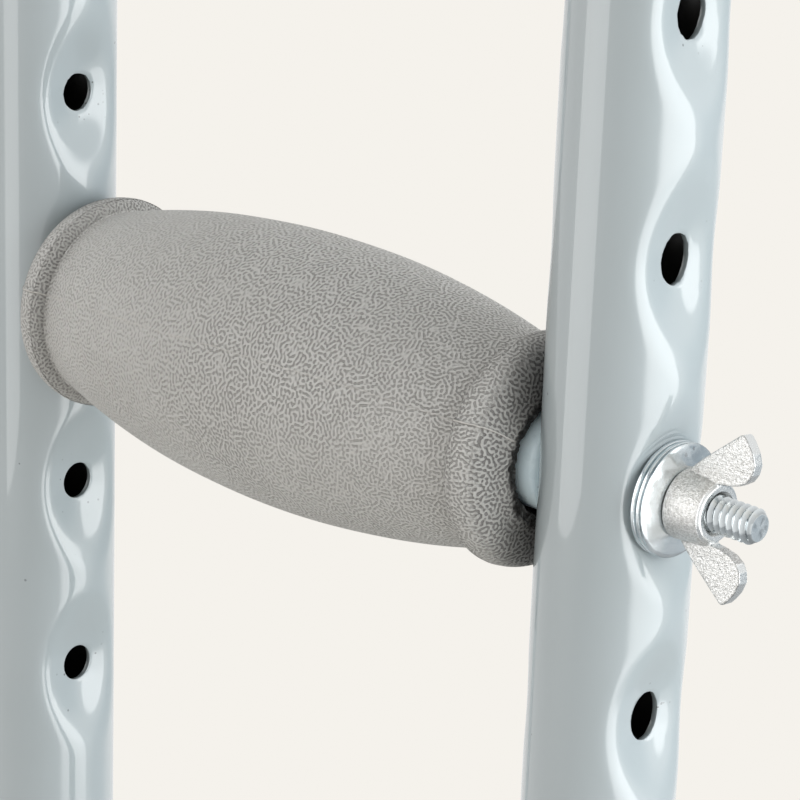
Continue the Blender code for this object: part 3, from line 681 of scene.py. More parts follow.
def pressed(x, y, height):
    """X of a point of the tube after the press, all counted from the tube's own axis."""
    rise = min(abs(height - hole) for hole in GRIP_HOLES)
    if rise >= PITCH / 2:
        return x
    share = ((1 + math.cos(math.tau * rise / PITCH)) / 2) ** BOWL_SHARPNESS
    floor = TUBE_R + SOFTNESS - (PRESS_DEPTH + SOFTNESS) * share + y * y / (2 * BOWL_RISE)
    return math.copysign(soft_min(abs(x), floor), x) if abs(x) > SOFTNESS else x


def bow_x(height):
    share = min(max((height - tube_high.z) / SPREAD_HEIGHT, 0.0), 1.0)
    return BOW_LOW_X + (BOW_X - BOW_LOW_X) * (1 - math.cos(math.pi * share)) / 2


def bow(side, word):
    rows = [(height, height, 10) for height in RIVETS]
    rows += [(GRIP_HOLES[0], GRIP_HOLES[-1], 23), (PIN_Z, PIN_Z, 10)]
    heights = ring_heights(bow_low.z, bow_high.z, 4.5 * MM, PITCH / 43, rows)
    holes = []
    for facing in (0, 180):
        tall = HOLE_TALL[facing if side > 0 else 180 - facing]
        holes += [(height, facing, HOLE_R, tall) for height in GRIP_HOLES]
        holes += [(height, facing, RIVET_HOLE_R, 1) for height in RIVETS]
        holes += [(PIN_Z, facing + 90, PIN_HOLE_R, 1)]
    work = grid_tube(TUBE_R, heights, BOW_SIDES, holes)
    for vert in work.verts:
        x, y, height = vert.co
        x = pressed(x, y, height)
        lean = math.atan2(bow_x(height + MM) - bow_x(height - MM), 2 * MM)
        vert.co.x = side * bow_x(height) + x * math.cos(lean)
        vert.co.z = height - side * x * math.sin(lean)
    mesh = walled(work, "painted_bow", WALL)
    piece(f"painted_bow_{word}", mesh, ENAMEL, f"bow_{word}")


for side, word in ((1, "nut_side"), (-1, "head_side")):
    bow(side, word)

# %% [markdown]
# ## Centre tube and leg
# The leg slides in the centre tube, and a snap button in it springs out through one of seven holes. Both
# are plain tube with softened ends, from the same grid as the bows but with fewer sides.

# %% Draw the centre tube and the leg
STEP = 25.4 * MM
TUBE_SIDES = 64
BUTTON_Z = centre("snap_button").z
BUTTON_HOLE_R = 4.0 * MM
LEG_HOLE_R = 3.8 * MM
LEG_WALL = 1.3 * MM
leg_low, leg_high = box("leg_tube")

rows = [(BUTTON_Z - 3 * STEP, BUTTON_Z + 3 * STEP, 10), *((height, height, 10) for height in RIVETS)]
heights = ring_heights(tube_low.z, tube_high.z, 6 * MM, STEP / 20, rows)
holes = [(BUTTON_Z + STEP * i, 270, BUTTON_HOLE_R, 1) for i in range(-3, 4)]
holes += [(height, facing, RIVET_HOLE_R, 1) for height in RIVETS for facing in (0, 180)]
mesh = walled(grid_tube(TUBE_R, heights, TUBE_SIDES, holes), "painted_centre_tube", WALL)
piece("painted_centre_tube", mesh, ENAMEL, "centre_tube")

heights = ring_heights(leg_low.z, leg_high.z, 8 * MM, STEP / 20, [(BUTTON_Z, BUTTON_Z, 10)])
tube = grid_tube(leg_high.x, heights, TUBE_SIDES, [(BUTTON_Z, 270, LEG_HOLE_R, 1)])
piece("painted_leg", walled(tube, "painted_leg", LEG_WALL), ENAMEL, "leg_tube", "leg")

# %% [markdown]
# ## Rivets, pins and plugs
# Two set rivets hold the bows to the centre tube, and a pin goes through each socket of the saddle. Their
# domed heads are drawn down onto the round tube, so the skirt of a head reaches a little past the tube's
# highest line. The plugs are push-in caps with a soft edge.

# %% Turn the rivets, the pins and the plugs
def domed_pin(half_grip, shank_r, head_r, rise, skirt, at, axis):
    """A pin with a domed head at each end, spun in one go from its outline in millimetres."""
    dome = [(0, rise, 0), (0.35, 0.95 * rise, 0), (0.70, 0.66 * rise, 0), (0.92, 0.28 * rise, 0)]
    upper = [(head_r * across, half_grip + up, cut) for across, up, cut in dome]
    upper += [(head_r, half_grip, 0), (head_r, half_grip - skirt, 0), (shank_r, half_grip - skirt, 0)]
    lower = [(radius, -height, cut) for radius, height, cut in reversed(upper)]
    return turned("pin", rounded(upper + lower), 36, axis, at)


def plug_mesh(x, height, up):
    tube_r = TUBE_R / MM
    corners = [
        (0, 3.0, 0), (tube_r - 0.9, 3.0, 0), (tube_r - 0.1, 2.6, 0.5), (tube_r, 1.9, 0.4), (tube_r, 0.3, 0),
        (10.9, 0.3, 0), (10.9, -12.0, 0), (0, -12.0, 0),
    ]
    outline = rounded([(radius, up * along, cut) for radius, along, cut in corners])
    return turned("plug", outline, 64, "Z", (x, 0, height))


SOCKET_R = box("underarm_saddle")[1].y
for word, height in zip(("lower", "upper"), RIVETS):
    mesh = domed_pin((BOW_LOW_X + TUBE_R + GAP) / MM, 3.0, 5.5, 3.0, 1.4, (0, 0, height), "X")
    piece(f"set_rivet_{word}", mesh, ZINC, f"frame_rivet_{word}")
for side, word in ((1, "nut_side"), (-1, "head_side")):
    mesh = domed_pin((SOCKET_R + GAP) / MM, 2.5, 4.5, 2.2, 0.8, (side * BOW_X, 0, PIN_Z), "Y")
    piece(f"socket_pin_{word}", mesh, ZINC, f"saddle_pin_{word}")
    mesh = plug_mesh(side * BOW_LOW_X, bow_low.z, -1)
    piece(f"bow_cap_{word}", mesh, PLUG_PLASTIC, f"bow_plug_{word}")
piece("tube_cap", plug_mesh(0, tube_high.z, 1), PLUG_PLASTIC, "centre_plug")

# %% [markdown]
# ## Foam grip and its core
# The grip is a foam sleeve pulled over a plastic core: a barrel with a rolled flange at each end and a
# sharp crease between the two. It is spun from its outline, and then worked like the real one: the mouth
# where the foam was cut is torn and uneven, and the mould line grows into a ridge over each flange. The map
# for the skin unrolls the sleeve, and it is slit along the mould line at the back, where the real skin
# breaks too. Numbers on the mesh tell the finish where the skin is crisp, and where it paints shade: in the
# torn mouth, next to the tube, on the end faces and in the crease.

# %% Spin the foam and work its surface
FOAM_HALF = (box("grip_foam")[1].x - box("grip_foam")[0].x) / 2
FOAM_STEPS = 320
BODY_RINGS = 44
BARREL_R, BARREL_FALL, BARREL_REACH = 24.25, 6.5, 50.0  # millimetres: the barrel falls away by 6.5 in 50
BARREL_POWER = 2.1
MEAN_R = 21 * MM


def foam_outline():
    """Half outline of the foam from its right mouth to its left one, as (radius, distance) in metres."""
    end = FOAM_HALF / MM
    right = [
        (9.6, end - 8.0, 0), (9.6, end - 1.2, 1.0), (10.1, end + 0.4, 0.3), (11.6, end + 0.75, 0.7),
        (14.0, end + 0.15, 1.2), (17.0, end - 0.5, 1.6), (19.0, end - 2.0, 1.5), (19.85, end - 4.7, 1.4),
        (19.75, end - 6.1, 0.8), (19.1, end - 7.1, 0.5), (17.7, end - 7.45, 0.25), (18.0, end - 7.8, 0.15),
    ]
    first = end - 8.0
    for i in range(BODY_RINGS + 1):
        along = first * (1 - i / BODY_RINGS)
        right.append((BARREL_R - BARREL_FALL * (along / BARREL_REACH) ** BARREL_POWER, along, 0))
    left = [(radius, -along, cut) for radius, along, cut in reversed(right[:-1])]
    return rounded(right + left)


def seam_turn(x):
    return SEAM_TURN + SEAM_TWIST * x


def unroll(mesh, outline):
    """Gives the mesh a map in metres: the way along the outline, and the way around at the mean radius."""
    ways = [0.0]
    for (r0, x0), (r1, x1) in zip(outline, outline[1:]):
        ways.append(ways[-1] + math.hypot(r1 - r0, x1 - x0))
    tree = kdtree.KDTree(len(outline))
    for i, (radius, x) in enumerate(outline):
        tree.insert((radius, x, 0), i)
    tree.balance()
    places = []
    for vert in mesh.vertices:
        y, z = vert.co.y, vert.co.z - GRIP_Z
        nearest = tree.find((math.hypot(y, z), vert.co.x, 0))[1]
        places.append((ways[nearest], math.remainder(math.atan2(z, -y) - seam_turn(vert.co.x), math.tau)))
    skin = mesh.uv_layers.new(name="skin")
    for face in mesh.polygons:
        mostly_above = sum(places[i][1] > 0 for i in face.vertices) * 2 > len(face.vertices)
        for loop in face.loop_indices:
            way, turn = places[mesh.loops[loop].vertex_index]
            if abs(turn) > 3:
                turn = math.copysign(turn, 1 if mostly_above else -1)
            skin.data[loop].uv = (way, turn * MEAN_R)


def foam_mesh():
    outline = foam_outline()
    mesh = turned("foam", outline, FOAM_STEPS, "X", (0, 0, GRIP_Z), ring=True)
    unroll(mesh, outline)
    values = marks(mesh, "seam", "torn_mouth_shade", "crisp", "end_face", "crease", "from_middle", "painted_shade")
    for i, vert in enumerate(mesh.vertices):
        x, y, z = vert.co.x, vert.co.y, vert.co.z - GRIP_Z
        radius = math.hypot(y, z)
        turn = math.atan2(z, -y) - seam_turn(x)
        off = abs(math.remainder(turn, math.pi)) * radius
        line = math.exp(-((off / (0.32 * MM)) ** 2))
        to_end = (abs(x) - FOAM_HALF) / MM
        to_tube = (math.hypot(BOW_X - abs(x), y) - TUBE_R) / MM
        on_flange = smooth((to_end + 8) / 1.5)
        at_mouth = smooth((12.9 - radius / MM) / 1.9) * smooth((to_end + 5) / 3)
        rough = noise.noise(Vector((x * 0.3, y, z)) * 700) + 0.6 * noise.noise(Vector((x, y, z)) * 1900)
        lumps = noise.noise(Vector((x, y, z)) * 60) * 0.10
        new = radius + (lumps + line * on_flange * 0.32 + at_mouth * rough * 0.42) * MM
        vert.co.y, vert.co.z = y * new / radius, GRIP_Z + z * new / radius
        vert.co.x = x - math.copysign(at_mouth * abs(rough) * 0.35 * MM, x)
        # The numbers for the mouth, for nearness to the tube, for the end faces and for the crease darken
        # the foam's colour there: painted shade.
        found = {
            "seam": 0.45 + 0.55 * on_flange,
            "torn_mouth_shade": smooth(at_mouth * (1.05 + 0.9 * rough)),
            "painted_shade": smooth(1.1 - to_tube / 7) * smooth((abs(z) / MM - 5) / 6),
            "crisp": 0.65 + 0.35 * smooth((x / MM + 45) / 60) + 0.2 * on_flange,
            "end_face": smooth((to_end + 3.2) / 2.4),
            "crease": smooth((to_end + 8) / 0.4) * smooth((-5.2 - to_end) / 1.6),
            "from_middle": x,
        }
        for name, value in found.items():
            values[name][i].value = value
    return mesh


def core_mesh():
    end = box("grip_core")[1].x / MM
    right = [
        (3.6, end - 0.6, 0), (4.0, end, 0.3), (7.4, end - 0.1, 0.7), (8.7, end - 1.0, 0.6),
        (8.95, end - 2.6, 0.5), (9.0, end - 6.0, 0),
    ]
    left = [(radius, -along, cut) for radius, along, cut in reversed(right)]
    return turned("core", rounded(right + left), 96, "X", (0, 0, GRIP_Z), ring=True)


print("foam ends", round(FOAM_HALF / MM, 2), "mm from the middle")
for obj in piece("moulded_grip", foam_mesh(), GRIP_FOAM, "grip_foam"):
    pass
piece("grip_sleeve", core_mesh(), CORE_PLASTIC, "grip_core")

# %% [markdown]
# ## Bolt and washers
# The bolt has a rolled thread, and it shows past the nut. A thread is one tooth spun round the axis and
# moved by a pitch for each turn, and neighbouring turns are then merged. Two cuts give it square ends, the
# last crests are drawn in for the point's chamfer, and the sheared end face is a little uneven. The washers
# are stampings: the punch rolls one face's edge over, and leaves a sharp burr on the other.

# %% Cut the thread and stamp the washers
THREAD_PITCH = 1.27 * MM
CREST_R, ROOT_R = 3.0 * MM, 2.40 * MM
TOOTH = [(0, 0), (0.10, 0.04), (0.42, 0.94), (0.47, 1), (0.55, 1), (0.60, 0.94), (0.92, 0.04), (1, 0)]
TURN_STEPS = 40
CHAMFER = 1.0 * MM
CHAMFER_SLOPE = 0.85  # how fast the crests are drawn in, against the way along the bolt
NUT_SEAT = box("wing_nut")[0].x
bolt_low, bolt_high = box("grip_bolt")


def thread_mesh(start, end):
    """A threaded rod between two heights on Z, closed at both ends."""
    first = start - 1.5 * THREAD_PITCH
    turns = math.ceil((end - first) / THREAD_PITCH) + 2
    outline = [(ROOT_R + (CREST_R - ROOT_R) * out, first + THREAD_PITCH * along) for along, out in TOOTH]
    work = spun(outline, TURN_STEPS, turns=turns, pitch=THREAD_PITCH)
    for height, up in ((start, -1), (end, 1)):
        bmesh.ops.bisect_plane(
            work, geom=work.verts[:] + work.edges[:] + work.faces[:], plane_co=(0, 0, height),
            plane_no=(0, 0, up), clear_outer=True,
        )
    for vert in work.verts:
        across = math.hypot(vert.co.x, vert.co.y)
        most = CREST_R - max(0.0, vert.co.z - (end - CHAMFER)) * CHAMFER_SLOPE
        if across > most:
            vert.co.x *= most / across
            vert.co.y *= most / across
    bmesh.ops.holes_fill(work, edges=[edge for edge in work.edges if edge.is_boundary], sides=0)
    bmesh.ops.recalc_face_normals(work, faces=work.faces)
    sheared = [face for face in work.faces if face.normal.z > 0.99 and len(face.verts) > 8]
    centres = bmesh.ops.poke(work, faces=sheared)
    spokes = list({edge for vert in centres["verts"] for edge in vert.link_edges})
    bmesh.ops.subdivide_edges(work, edges=spokes, cuts=2, use_grid_fill=True)
    # The roots are marked for painted shade in the finish.
    painted_shade = work.verts.layers.float.new("painted_shade")
    for vert in work.verts:
        across = math.hypot(vert.co.x, vert.co.y)
        if vert.co.z > end - 0.01 * MM and across < CREST_R - CHAMFER:
            vert.co.z += 0.04 * MM * noise.noise(1100 * vert.co)
        if vert.co.z < end - 0.01 * MM:
            vert[painted_shade] = smooth(1.2 - (across - ROOT_R) / (0.25 * MM))
    return mesh_from(work, "thread")


def bolt_mesh():
    start, end = NUT_SEAT + 2 * MM, bolt_high.x
    thread = thread_mesh(start, end)
    thread.transform(Matrix.Translation((0, 0, GRIP_Z)) @ Matrix.Rotation(math.pi / 2, 4, "Y"))
    head, tail = bolt_low.x / MM, start / MM + 0.5
    outline = rounded([
        (0, head, 0), (3.6, head + 0.12, 1.2), (6.3, head + 1.2, 1.4), (7.4, head + 2.9, 0.8),
        (7.5, head + 4.2, 0.25), (2.95, head + 4.2, 0), (2.95, tail, 0), (0, tail, 0),
    ])
    return joined("bolt", turned("shank", outline, 72, "X", (0, 0, GRIP_Z)), thread)


def washer_mesh(node_name, fall, inward=False):
    """A stamped washer. Its far face is rolled over and falls by this many millimetres to the edge."""
    low, high = box(node_name)
    thick = (high.x - low.x) / MM
    outline = rounded([
        (3.6, 0, 0), (3.6, thick, 0.12), (5.6, thick, 0.8), (8.9, thick - fall, 0.4),
        (9.3, thick - fall - 0.2, 0.15), (9.3, 0.0, 0.10), (3.6, 0, 0),
    ], 3)[:-1]
    mesh = turned("washer", outline, 96, "Z", ring=True)
    turn = Matrix.Rotation(math.pi / 2 * (-1 if inward else 1), 4, "Y")
    mesh.transform(Matrix.Translation((high.x if inward else low.x, 0, GRIP_Z)) @ turn)
    return mesh


piece("threaded_bolt", bolt_mesh(), ZINC, "grip_bolt")
mesh = washer_mesh("head_washer", 0.3, inward=True)
piece("stamped_washer_head", mesh, ZINC, "head_washer")
for word, fall in (("inner", 0.2), ("middle", 0.2), ("outer", 0.65)):
    mesh = washer_mesh(f"washer_{word}", fall)
    piece(f"stamped_washer_{word}", mesh, ZINC, f"washer_{word}", "washers")

# %% [markdown]
# ## Wing nut
# The nut is one casting: a short hub and two thin wings that sweep out along the bolt. Each wing is a flat
# outline extruded to its thickness: straight towards the washers, with a corner at its tip, and round on
# the side of the fingers. Casting rounds every inside corner, so a voxel remesh fuses the three bodies and
# they are smoothed a little. The bore is cut after that, because a remesh would close it.

# %% Cast the wing nut
NUT_TURN = math.radians(5)
WING_HALF = 1.1 * MM


def wing_mesh():
    """One wing: X goes out from the bolt, Z along it from the nut's seat, and Y through its thickness."""
    outline = [
        (3.6, 0.5), (5.4, 0.5), (8.1, 3.2), (10.2, 5.7), (12.6, 8.6), (13.5, 9.7), (13.65, 10.15),
        (13.4, 10.7), (12.6, 11.4), (11.2, 12.4), (9.4, 13.05), (7.8, 12.8), (6.5, 12.0), (5.6, 10.6),
        (5.1, 8.6), (4.8, 6.4), (3.6, 5.0),
    ]
    work = bmesh.new()
    face = work.faces.new([work.verts.new((out * MM, -WING_HALF, along * MM)) for out, along in outline])
    other = bmesh.ops.extrude_face_region(work, geom=[face])["geom"]
    moved = [part for part in other if isinstance(part, bmesh.types.BMVert)]
    bmesh.ops.translate(work, verts=moved, vec=(0, 2 * WING_HALF, 0))
    return mesh_from(work, "wing")


def wing_nut_mesh():
    bodies = [turned("hub", rounded([
        (0, 0, 0), (5.5, 0, 0), (5.8, 0.35, 0), (5.45, 4.6, 0.6), (5.15, 6.1, 0.3), (4.6, 6.8, 0.25),
        (0, 6.8, 0),
    ]), 96)]
    for half_turn in (0, math.pi):
        bodies.append(wing_mesh())
        bodies[-1].transform(Matrix.Rotation(half_turn, 4, "Z"))
    bore = turned("bore", rounded([
        (0, -1, 0), (3.2, -1, 0), (3.2, 6.25, 0), (3.75, 6.95, 0), (3.75, 9, 0), (0, 9, 0),
    ]), 64)
    nut = cut(fused(joined("cast", *bodies), 0.14 * MM), bore)
    values = marks(nut, "rubbed", "corner")
    for i, vert in enumerate(nut.vertices):
        x, y, z = vert.co / MM
        facing = abs(vert.normal.y)
        wing = smooth((abs(x) - 6.2) / 0.8)
        end_ring = smooth((z - 6.15) / 0.3) * smooth((5.2 - math.hypot(x, y)) / 0.3)
        values["rubbed"][i].value = max(wing * smooth((0.60 - facing) / 0.3), end_ring)
        # The corner number marks the wings' rounded edges, where the finish paints a band of shade.
        values["corner"][i].value = wing * smooth((0.93 - facing) / 0.15) * smooth((facing - 0.45) / 0.15)
    # Z of the casting goes along the bolt, and its X up along the upper wing.
    stand = Matrix(((0, 0, 1), (0, 1, 0), (-1, 0, 0))).to_4x4()
    turn = Matrix.Rotation(-NUT_TURN, 4, "X")
    nut.transform(Matrix.Translation((NUT_SEAT, 0, GRIP_Z)) @ turn @ stand)
    return nut


piece("cast_wing_nut", wing_nut_mesh(), CAST_ZINC, "wing_nut", "nut")

# %% [markdown]
# ## Underarm saddle and pad
# The saddle is a moulded plastic bar that curves gently up at its ends, with a socket under it for each
# bow. A voxel remesh fuses it from turned bodies and gives the moulded fillets, and the bores are cut after
# that. The pad is a thick sponge rubber sleeve: a little narrower at its middle, crowned on top, flatter
# below, and drawn in at its ends, with room cut for the saddle.

# %% Mould the saddle and the pad
SADDLE_Z = PIN_Z + 30 * MM
SADDLE_RISE = 12 * MM
SADDLE_REACH = 94 * MM
BAR_R = 14 * MM
PAD_R = 22 * MM
PAD_RINGS = 36
SQUARENESS = 2.5  # 2 would be round


def saddle_rise(x):
    """How much higher the saddle's curve runs here than in its middle."""
    return SADDLE_RISE * (x / SADDLE_REACH) ** 2


def bar(extra=0.0, cut=3 * MM, count=24):
    """The saddle's bar with softened ends and rings along it, bent to its curve."""
    radius, reach = BAR_R + extra, SADDLE_REACH + extra
    corners = [(0, reach, 0), (radius, reach, cut)]
    corners += [(radius, (reach - 2 * cut) * (1 - 2 * i / count), 0) for i in range(count + 1)]
    mesh = turned("bar", rounded(corners + [(radius, -reach, cut), (0, -reach, 0)], 6, 1), 64, "X")
    for vert in mesh.vertices:
        vert.co.z += SADDLE_Z + saddle_rise(vert.co.x)
    return mesh


def at_bows(name, outline, steps=64):
    return [turned(name, outline, steps, "Z", (side * BOW_X, 0, 0)) for side in (1, -1)]


def saddle_mesh():
    bottom = PIN_Z - 10 * MM
    socket = rounded([
        (0, bottom, 0), (SOCKET_R - 1 * MM, bottom, 0), (SOCKET_R, bottom + 1 * MM, 0.7 * MM),
        (SOCKET_R, bottom + 5 * MM, 0.6 * MM), (SOCKET_R - 0.7 * MM, bottom + 6 * MM, 0.6 * MM),
        (SOCKET_R - 0.9 * MM, SADDLE_Z - 6 * MM, 0), (SOCKET_R - 3 * MM, SADDLE_Z, 2 * MM),
        (0, SADDLE_Z, 0),
    ], unit=1)
    top, width = bow_high.z + GAP, TUBE_R + GAP
    bore = rounded([
        (0, top, 0), (width, top, 0), (width, bottom + 1.2 * MM, 0), (width + 1.2 * MM, bottom - 1 * MM, 0),
        (0, bottom - 1 * MM, 0),
    ], unit=1)
    solid = fused(joined("saddle", bar(), *at_bows("socket", socket)), 0.95 * MM)
    return cut(solid, joined("bores", *at_bows("bore", bore, 88)))


def pad_mesh():
    reach = box("underarm_pad")[1].x
    corners = [
        (0, reach, 0), (9 * MM, reach - 0.2 * MM, 3 * MM), (18 * MM, reach - 5 * MM, 6 * MM),
        (21.6 * MM, reach - 15 * MM, 7 * MM),
    ]
    corners += [(PAD_R, (reach - 24 * MM) * (1 - 2 * i / PAD_RINGS), 0) for i in range(PAD_RINGS + 1)]
    corners += [(radius, -along, size) for radius, along, size in reversed(corners[:4])]
    mesh = turned("pad", rounded(corners, 6, 1), 96, "X")
    for vert in mesh.vertices:
        x, y, z = vert.co
        turn = math.atan2(z, y)
        square = abs(math.cos(turn)) ** SQUARENESS + abs(math.sin(turn)) ** SQUARENESS
        square **= -1 / SQUARENESS
        waist = 0.90 + 0.10 * smooth(abs(x) / (80 * MM))
        side_line = math.exp(-((z / (0.9 * MM)) ** 2)) * 0.35 * MM
        y = y * square * waist + math.copysign(side_line, y) * (abs(y) > 5 * MM)
        z = z * square * (0.97 if z > 0 else 0.86)
        lumps = noise.noise(Vector((x, y, z)) * 35) * 0.25 * MM
        vert.co = (x, y * (1 + lumps / PAD_R), z + saddle_rise(x) + SADDLE_Z)
    top, low, room_r = SADDLE_Z + 0.4 * MM, SADDLE_Z - 45 * MM, SOCKET_R + 0.5 * MM
    sockets = at_bows("room", [(0, top), (room_r, top), (room_r, low), (0, low)])
    return applied(cut(mesh, bar(GAP), *sockets), soft_edge(0.8 * MM, 3, 50))


piece("saddle_moulding", saddle_mesh(), SADDLE_PLASTIC, "underarm_saddle")
for obj in piece("sponge_pad", pad_mesh(), PAD_RUBBER, "underarm_pad"):
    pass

# %% [markdown]
# ## Snap button, leaf spring and rubber tip
# The button is a small domed cup. The spring behind it is a bent steel strip. The tip is moulded rubber: a
# wide foot, a shoulder and a tapering neck with two raised rings, and a tread of grooves in its sole. The
# steel disc is hidden inside the tip, so its CAD solid stays and only gets a better finish.

# %% Turn the button and the tip, and bend the spring
SPRING_STRIP = 0.8 * MM
TREAD = ((17.0, 18.6), (13.6, 15.2), (10.2, 11.8), (6.8, 8.4), (3.4, 5.0))  # grooves, from radius to radius
spring_low, spring_high = box("button_spring")


def button_mesh():
    low, high = box("snap_button")
    tip, base = -low.y / MM, 1 - high.y / MM
    outline = rounded([
        (0, tip, 0), (1.9, tip - 0.25, 0.8), (3.1, tip - 1.3, 0.9), (3.5, tip - 3.0, 0.8), (3.5, base, 0),
        (4.5, base, 0.15), (4.5, base - 1, 0.15), (0, base - 1, 0),
    ])
    mesh = turned("button", outline, 48, "Z")
    mesh.transform(Matrix.Translation((0, 0, BUTTON_Z)) @ Matrix.Rotation(math.pi / 2, 4, "X"))
    return mesh


def tip_mesh():
    top = box("rubber_tip")[1].z / MM
    bore = leg_high.x / MM + 0.3
    corners = [
        (0, 11, 0), (bore, 11, 0), (bore, top, 0.4), (14.0, top, 0.7), (14.9, top - 1.4, 0.6),
        (14.9, top - 3.6, 0.5), (14.2, top - 4.6, 0.4), (15.3, top - 13, 0), (16.1, top - 14, 0.4),
        (16.2, top - 16.4, 0.4), (15.6, top - 17.4, 0.4), (16.9, top - 27, 0), (17.3, 22, 2),
        (17.6, 16.5, 2.5), (20.6, 11.4, 1.6), (21.8, 9.4, 0.8), (22.0, 4.5, 0.5), (21.8, 1.2, 0.5),
        (20.8, 0, 0.6),
    ]
    for inner, outer in TREAD:
        corners += [(outer, 0, 0.2), (outer - 0.25, 1.9, 0.3), (inner + 0.25, 1.9, 0.3), (inner, 0, 0.2)]
    return turned("tip", rounded(corners + [(0, 0, 0)], 3), 96)


def spring_mesh():
    half = SPRING_STRIP / 2
    rise, drop = spring_high.z - BUTTON_Z, BUTTON_Z - spring_low.z
    front, back = spring_low.y + half, spring_high.y - half
    path = rounded([
        (front, rise, 0), (front, -rise, 3 * MM), (0, half - drop, 2 * MM), (back, -rise, 3 * MM),
        (back, rise, 0),
    ], unit=1)
    work = bmesh.new()
    spots = [work.verts.new((spring_low.x, y, BUTTON_Z + z)) for y, z in path]
    edges = [work.edges.new(pair) for pair in zip(spots, spots[1:])]
    new = bmesh.ops.extrude_edge_only(work, edges=edges)["geom"]
    moved = [part for part in new if isinstance(part, bmesh.types.BMVert)]
    bmesh.ops.translate(work, verts=moved, vec=(spring_high.x - spring_low.x, 0, 0))
    bmesh.ops.recalc_face_normals(work, faces=work.faces)
    work.normal_update()
    for vert in work.verts:
        vert.co += half * vert.normal
    bmesh.ops.solidify(work, geom=work.faces[:], thickness=SPRING_STRIP)
    return mesh_from(work, "spring")


piece("domed_button", button_mesh(), ZINC, "snap_button", "button")
piece("moulded_tip", tip_mesh(), TIP_RUBBER, "rubber_tip", "leg")
springs = piece("leaf_spring", spring_mesh(), SPRING_STEEL, "button_spring", "leg")
for side, spring in zip(SIDES, springs):
    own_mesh(spring)
    for holder in frame["nodes"][f"{side}_tip_disc"].material_slots:
        holder.material = ZINC

# %% [markdown]
# ## Floor, backdrop and light
# The photo has an off-white background with no floor in it. Here a plain floor keeps the crutches' shadow
# near the tips, and further out it turns into the same off-white that the world shows to the camera. The
# even light comes from a pale world and two soft boxes. What the gloss mirrors is set apart from it, as a
# studio does with cards: the floor is a plain grey to mirrored rays, and a ring of card stands round the
# grip. It glows on the right, for the broad wavy lane on the paint, and on the left above the grip, which
# whitens the thread and the hub. Right of the lane and high up it is darker, for contrast in the metal. A
# second card, close on the left, gives the straight pale line on both tubes.

# %% Lay the floor and hang the lamps
OFF_WHITE = (0.913, 0.887, 0.838)
FLOOR_COLOUR = (0.86, 0.84, 0.80)
FLOOR_Z = cad_box[0][2] - 0.2 * MM
CARD_R = 1.1
CARD_LOW, CARD_HIGH = -0.84, 1.40  # from the grip's height
CARD_COLUMNS, CARD_ROWS = 480, 64


def shown_rays(tree):
    """1 for rays from the camera, off a glossy surface or through glass, and 0 for the light itself."""
    path = node(tree, "LightPath")
    seen = maths("MAXIMUM", path.outputs["Is Camera Ray"], path.outputs["Is Glossy Ray"])
    return maths("MAXIMUM", seen, path.outputs["Is Transmission Ray"])


def floor():
    work = bmesh.new()
    bmesh.ops.create_circle(work, cap_ends=True, segments=96, radius=9.0)
    bmesh.ops.translate(work, verts=work.verts, vec=(0, 0, FLOOR_Z))
    obj = placed("floor", mesh_from(work, "floor"))
    made = Finish("floor", FLOOR_COLOUR, Base_Color=(*FLOOR_COLOUR, 1.0), Roughness=0.8)
    tree = made.tree
    away = node(tree, "VectorMath", {0: made.at}, operation="LENGTH").outputs["Value"]
    far = times(ranged(away, 0.45, 1.3), shown_rays(tree))
    mirrored = node(tree, "LightPath").outputs["Is Glossy Ray"]
    far = maths("MAXIMUM", far, times(mirrored, 0.8))
    colour = tint(mirrored, OFF_WHITE, (0.36, 0.38, 0.40))
    glow = node(tree, "Emission", {0: colour, 1: 1.0}).outputs[0]
    mixed = node(tree, "MixShader", {0: far, 1: made.shader.outputs[0], 2: glow}).outputs[0]
    tree.links.new(mixed, tree.nodes["Material Output"].inputs["Surface"])
    obj.data.materials.append(made.material)


def world():
    made = bpy.data.worlds.new("studio")
    bpy.context.scene.world = made
    made.use_nodes = True
    tree = made.node_tree
    ambient = node(tree, "Background", {0: (1.0, 0.98, 0.95, 1.0), 1: 0.62}).outputs[0]
    shown = node(tree, "Background", {0: (*OFF_WHITE, 1.0), 1: 1.0}).outputs[0]
    mixed = node(tree, "MixShader", {0: shown_rays(tree), 1: ambient, 2: shown}).outputs[0]
    tree.links.new(mixed, tree.nodes["World Output"].inputs["Surface"])


def ramp(value, low, high):
    """The value's smooth way from 0 at low to 1 at high."""
    return smooth((value - low) / (high - low))


def band(value, rise, full, fall, end):
    """1 from full to fall, with a smooth rise before it and a smooth way down to 0 after it."""
    return ramp(value, rise, full) * (1 - ramp(value, fall, end))


def glow(azimuth, height):
    """The ring's brightness at an azimuth in degrees and a height from the grip."""
    lean = 30 * max(0.0, height + 0.1)
    key = band(azimuth, 64, 76, 120 + lean, 123 + lean) * band(height, -0.80, -0.62, 0.22, 0.36)
    key *= 0.75 + 0.25 * ramp(height, -0.38, -0.22)
    dark = band(azimuth, 126, 138, 160, 185) * (1 - ramp(height, 0.0, 0.25))
    dark *= 0.7 + 0.3 * ramp(height, -0.40, -0.30)
    window = band(azimuth, -80, -60, -5, 15) * band(height, 0.1, 0.2, 0.75, 0.85)
    above = band(azimuth, -175, -150, 20, 50) * ramp(height, 0.85, 0.95)
    return 0.90 + 2.7 * key - 0.46 * dark + 2.0 * window - 0.55 * above


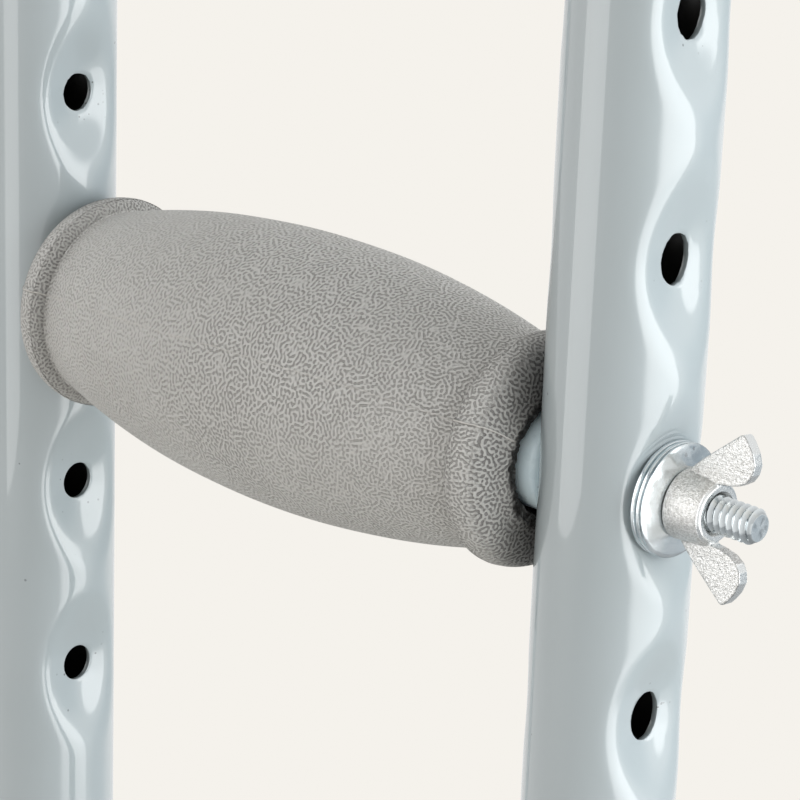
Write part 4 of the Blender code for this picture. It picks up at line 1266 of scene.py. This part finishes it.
def card(name, work, strength):
    """A glowing card that only mirrored rays see, with a number or a mark on the mesh as its strength."""
    obj = placed(name, mesh_from(work, name))
    made = bpy.data.materials.new(name)
    made.use_nodes = True
    tree = made.node_tree
    if isinstance(strength, str):
        strength = node(tree, "Attribute", attribute_name=strength).outputs["Fac"]
    inputs = {0: strength, 1: 0.3, 2: 0.9, 3: 1.0, 4: 0.0}
    cool = node(tree, "MapRange", inputs, interpolation_type="SMOOTHSTEP").outputs[0]
    colour = tint(cool, (0.985, 0.985, 0.98), (0.86, 0.98, 1.08))
    light = node(tree, "Emission", {0: colour, 1: strength}).outputs[0]
    tree.links.new(light, tree.nodes["Material Output"].inputs["Surface"])
    obj.data.materials.append(made)
    obj.visible_camera = obj.visible_diffuse = obj.visible_shadow = obj.visible_transmission = False


def side_card():
    """A tall white card close on the left, whose reflection is the pale line on both tubes."""
    work = bmesh.new()
    near, far = Vector((-0.176, -0.214, 0)), Vector((-0.069, -0.644, 0))
    corners = [(near, -0.125), (far, -0.235), (far, 0.30), (near, 0.30)]
    middle = Vector((MIDDLE["right"], 0, GRIP_Z))
    work.faces.new([work.verts.new(middle + spot + Vector((0, 0, height))) for spot, height in corners])
    card("side_card", work, 2.2)


def card_ring():
    work = bmesh.new()
    layer = work.verts.layers.float.new("glow")
    bmesh.ops.create_grid(work, x_segments=CARD_COLUMNS, y_segments=CARD_ROWS, size=0.5)
    for vert in work.verts:
        azimuth = 360 * vert.co.x
        height = CARD_LOW + (CARD_HIGH - CARD_LOW) * (vert.co.y + 0.5)
        vert[layer] = glow(azimuth, height)
        vert.co = LOOK_AT + CARD_R * direction(math.radians(azimuth), 0.0) + Vector((0, 0, height))
    bmesh.ops.remove_doubles(work, verts=work.verts, dist=1 * MM)
    card("card_ring", work, "glow")


def soft_box(name, azimuth, elevation, distance, width, power, colour):
    """A square lamp that faces the grip. It lights, but neither the camera nor a mirror sees it."""
    data = bpy.data.lights.new(name, "AREA")
    data.shape = "SQUARE"
    data.size, data.energy, data.color = width, power, colour
    lamp = placed(name, data)
    toward = direction(math.radians(azimuth), math.radians(elevation))
    lamp.location = LOOK_AT + distance * toward
    lamp.rotation_euler = toward.to_track_quat("Z", "Y").to_euler()
    lamp.visible_camera = lamp.visible_glossy = False
    print(name, "gives", power, "W from", distance, "m")


floor()
world()
card_ring()
side_card()
soft_box("right_box", 108, 10, 0.8, 1.0, 7.8, (0.94, 0.98, 1.0))
soft_box("left_box", -50, 12, 1.3, 1.5, 4, (1.0, 1.0, 1.0))
bpy.context.scene.view_settings.view_transform = "Standard"
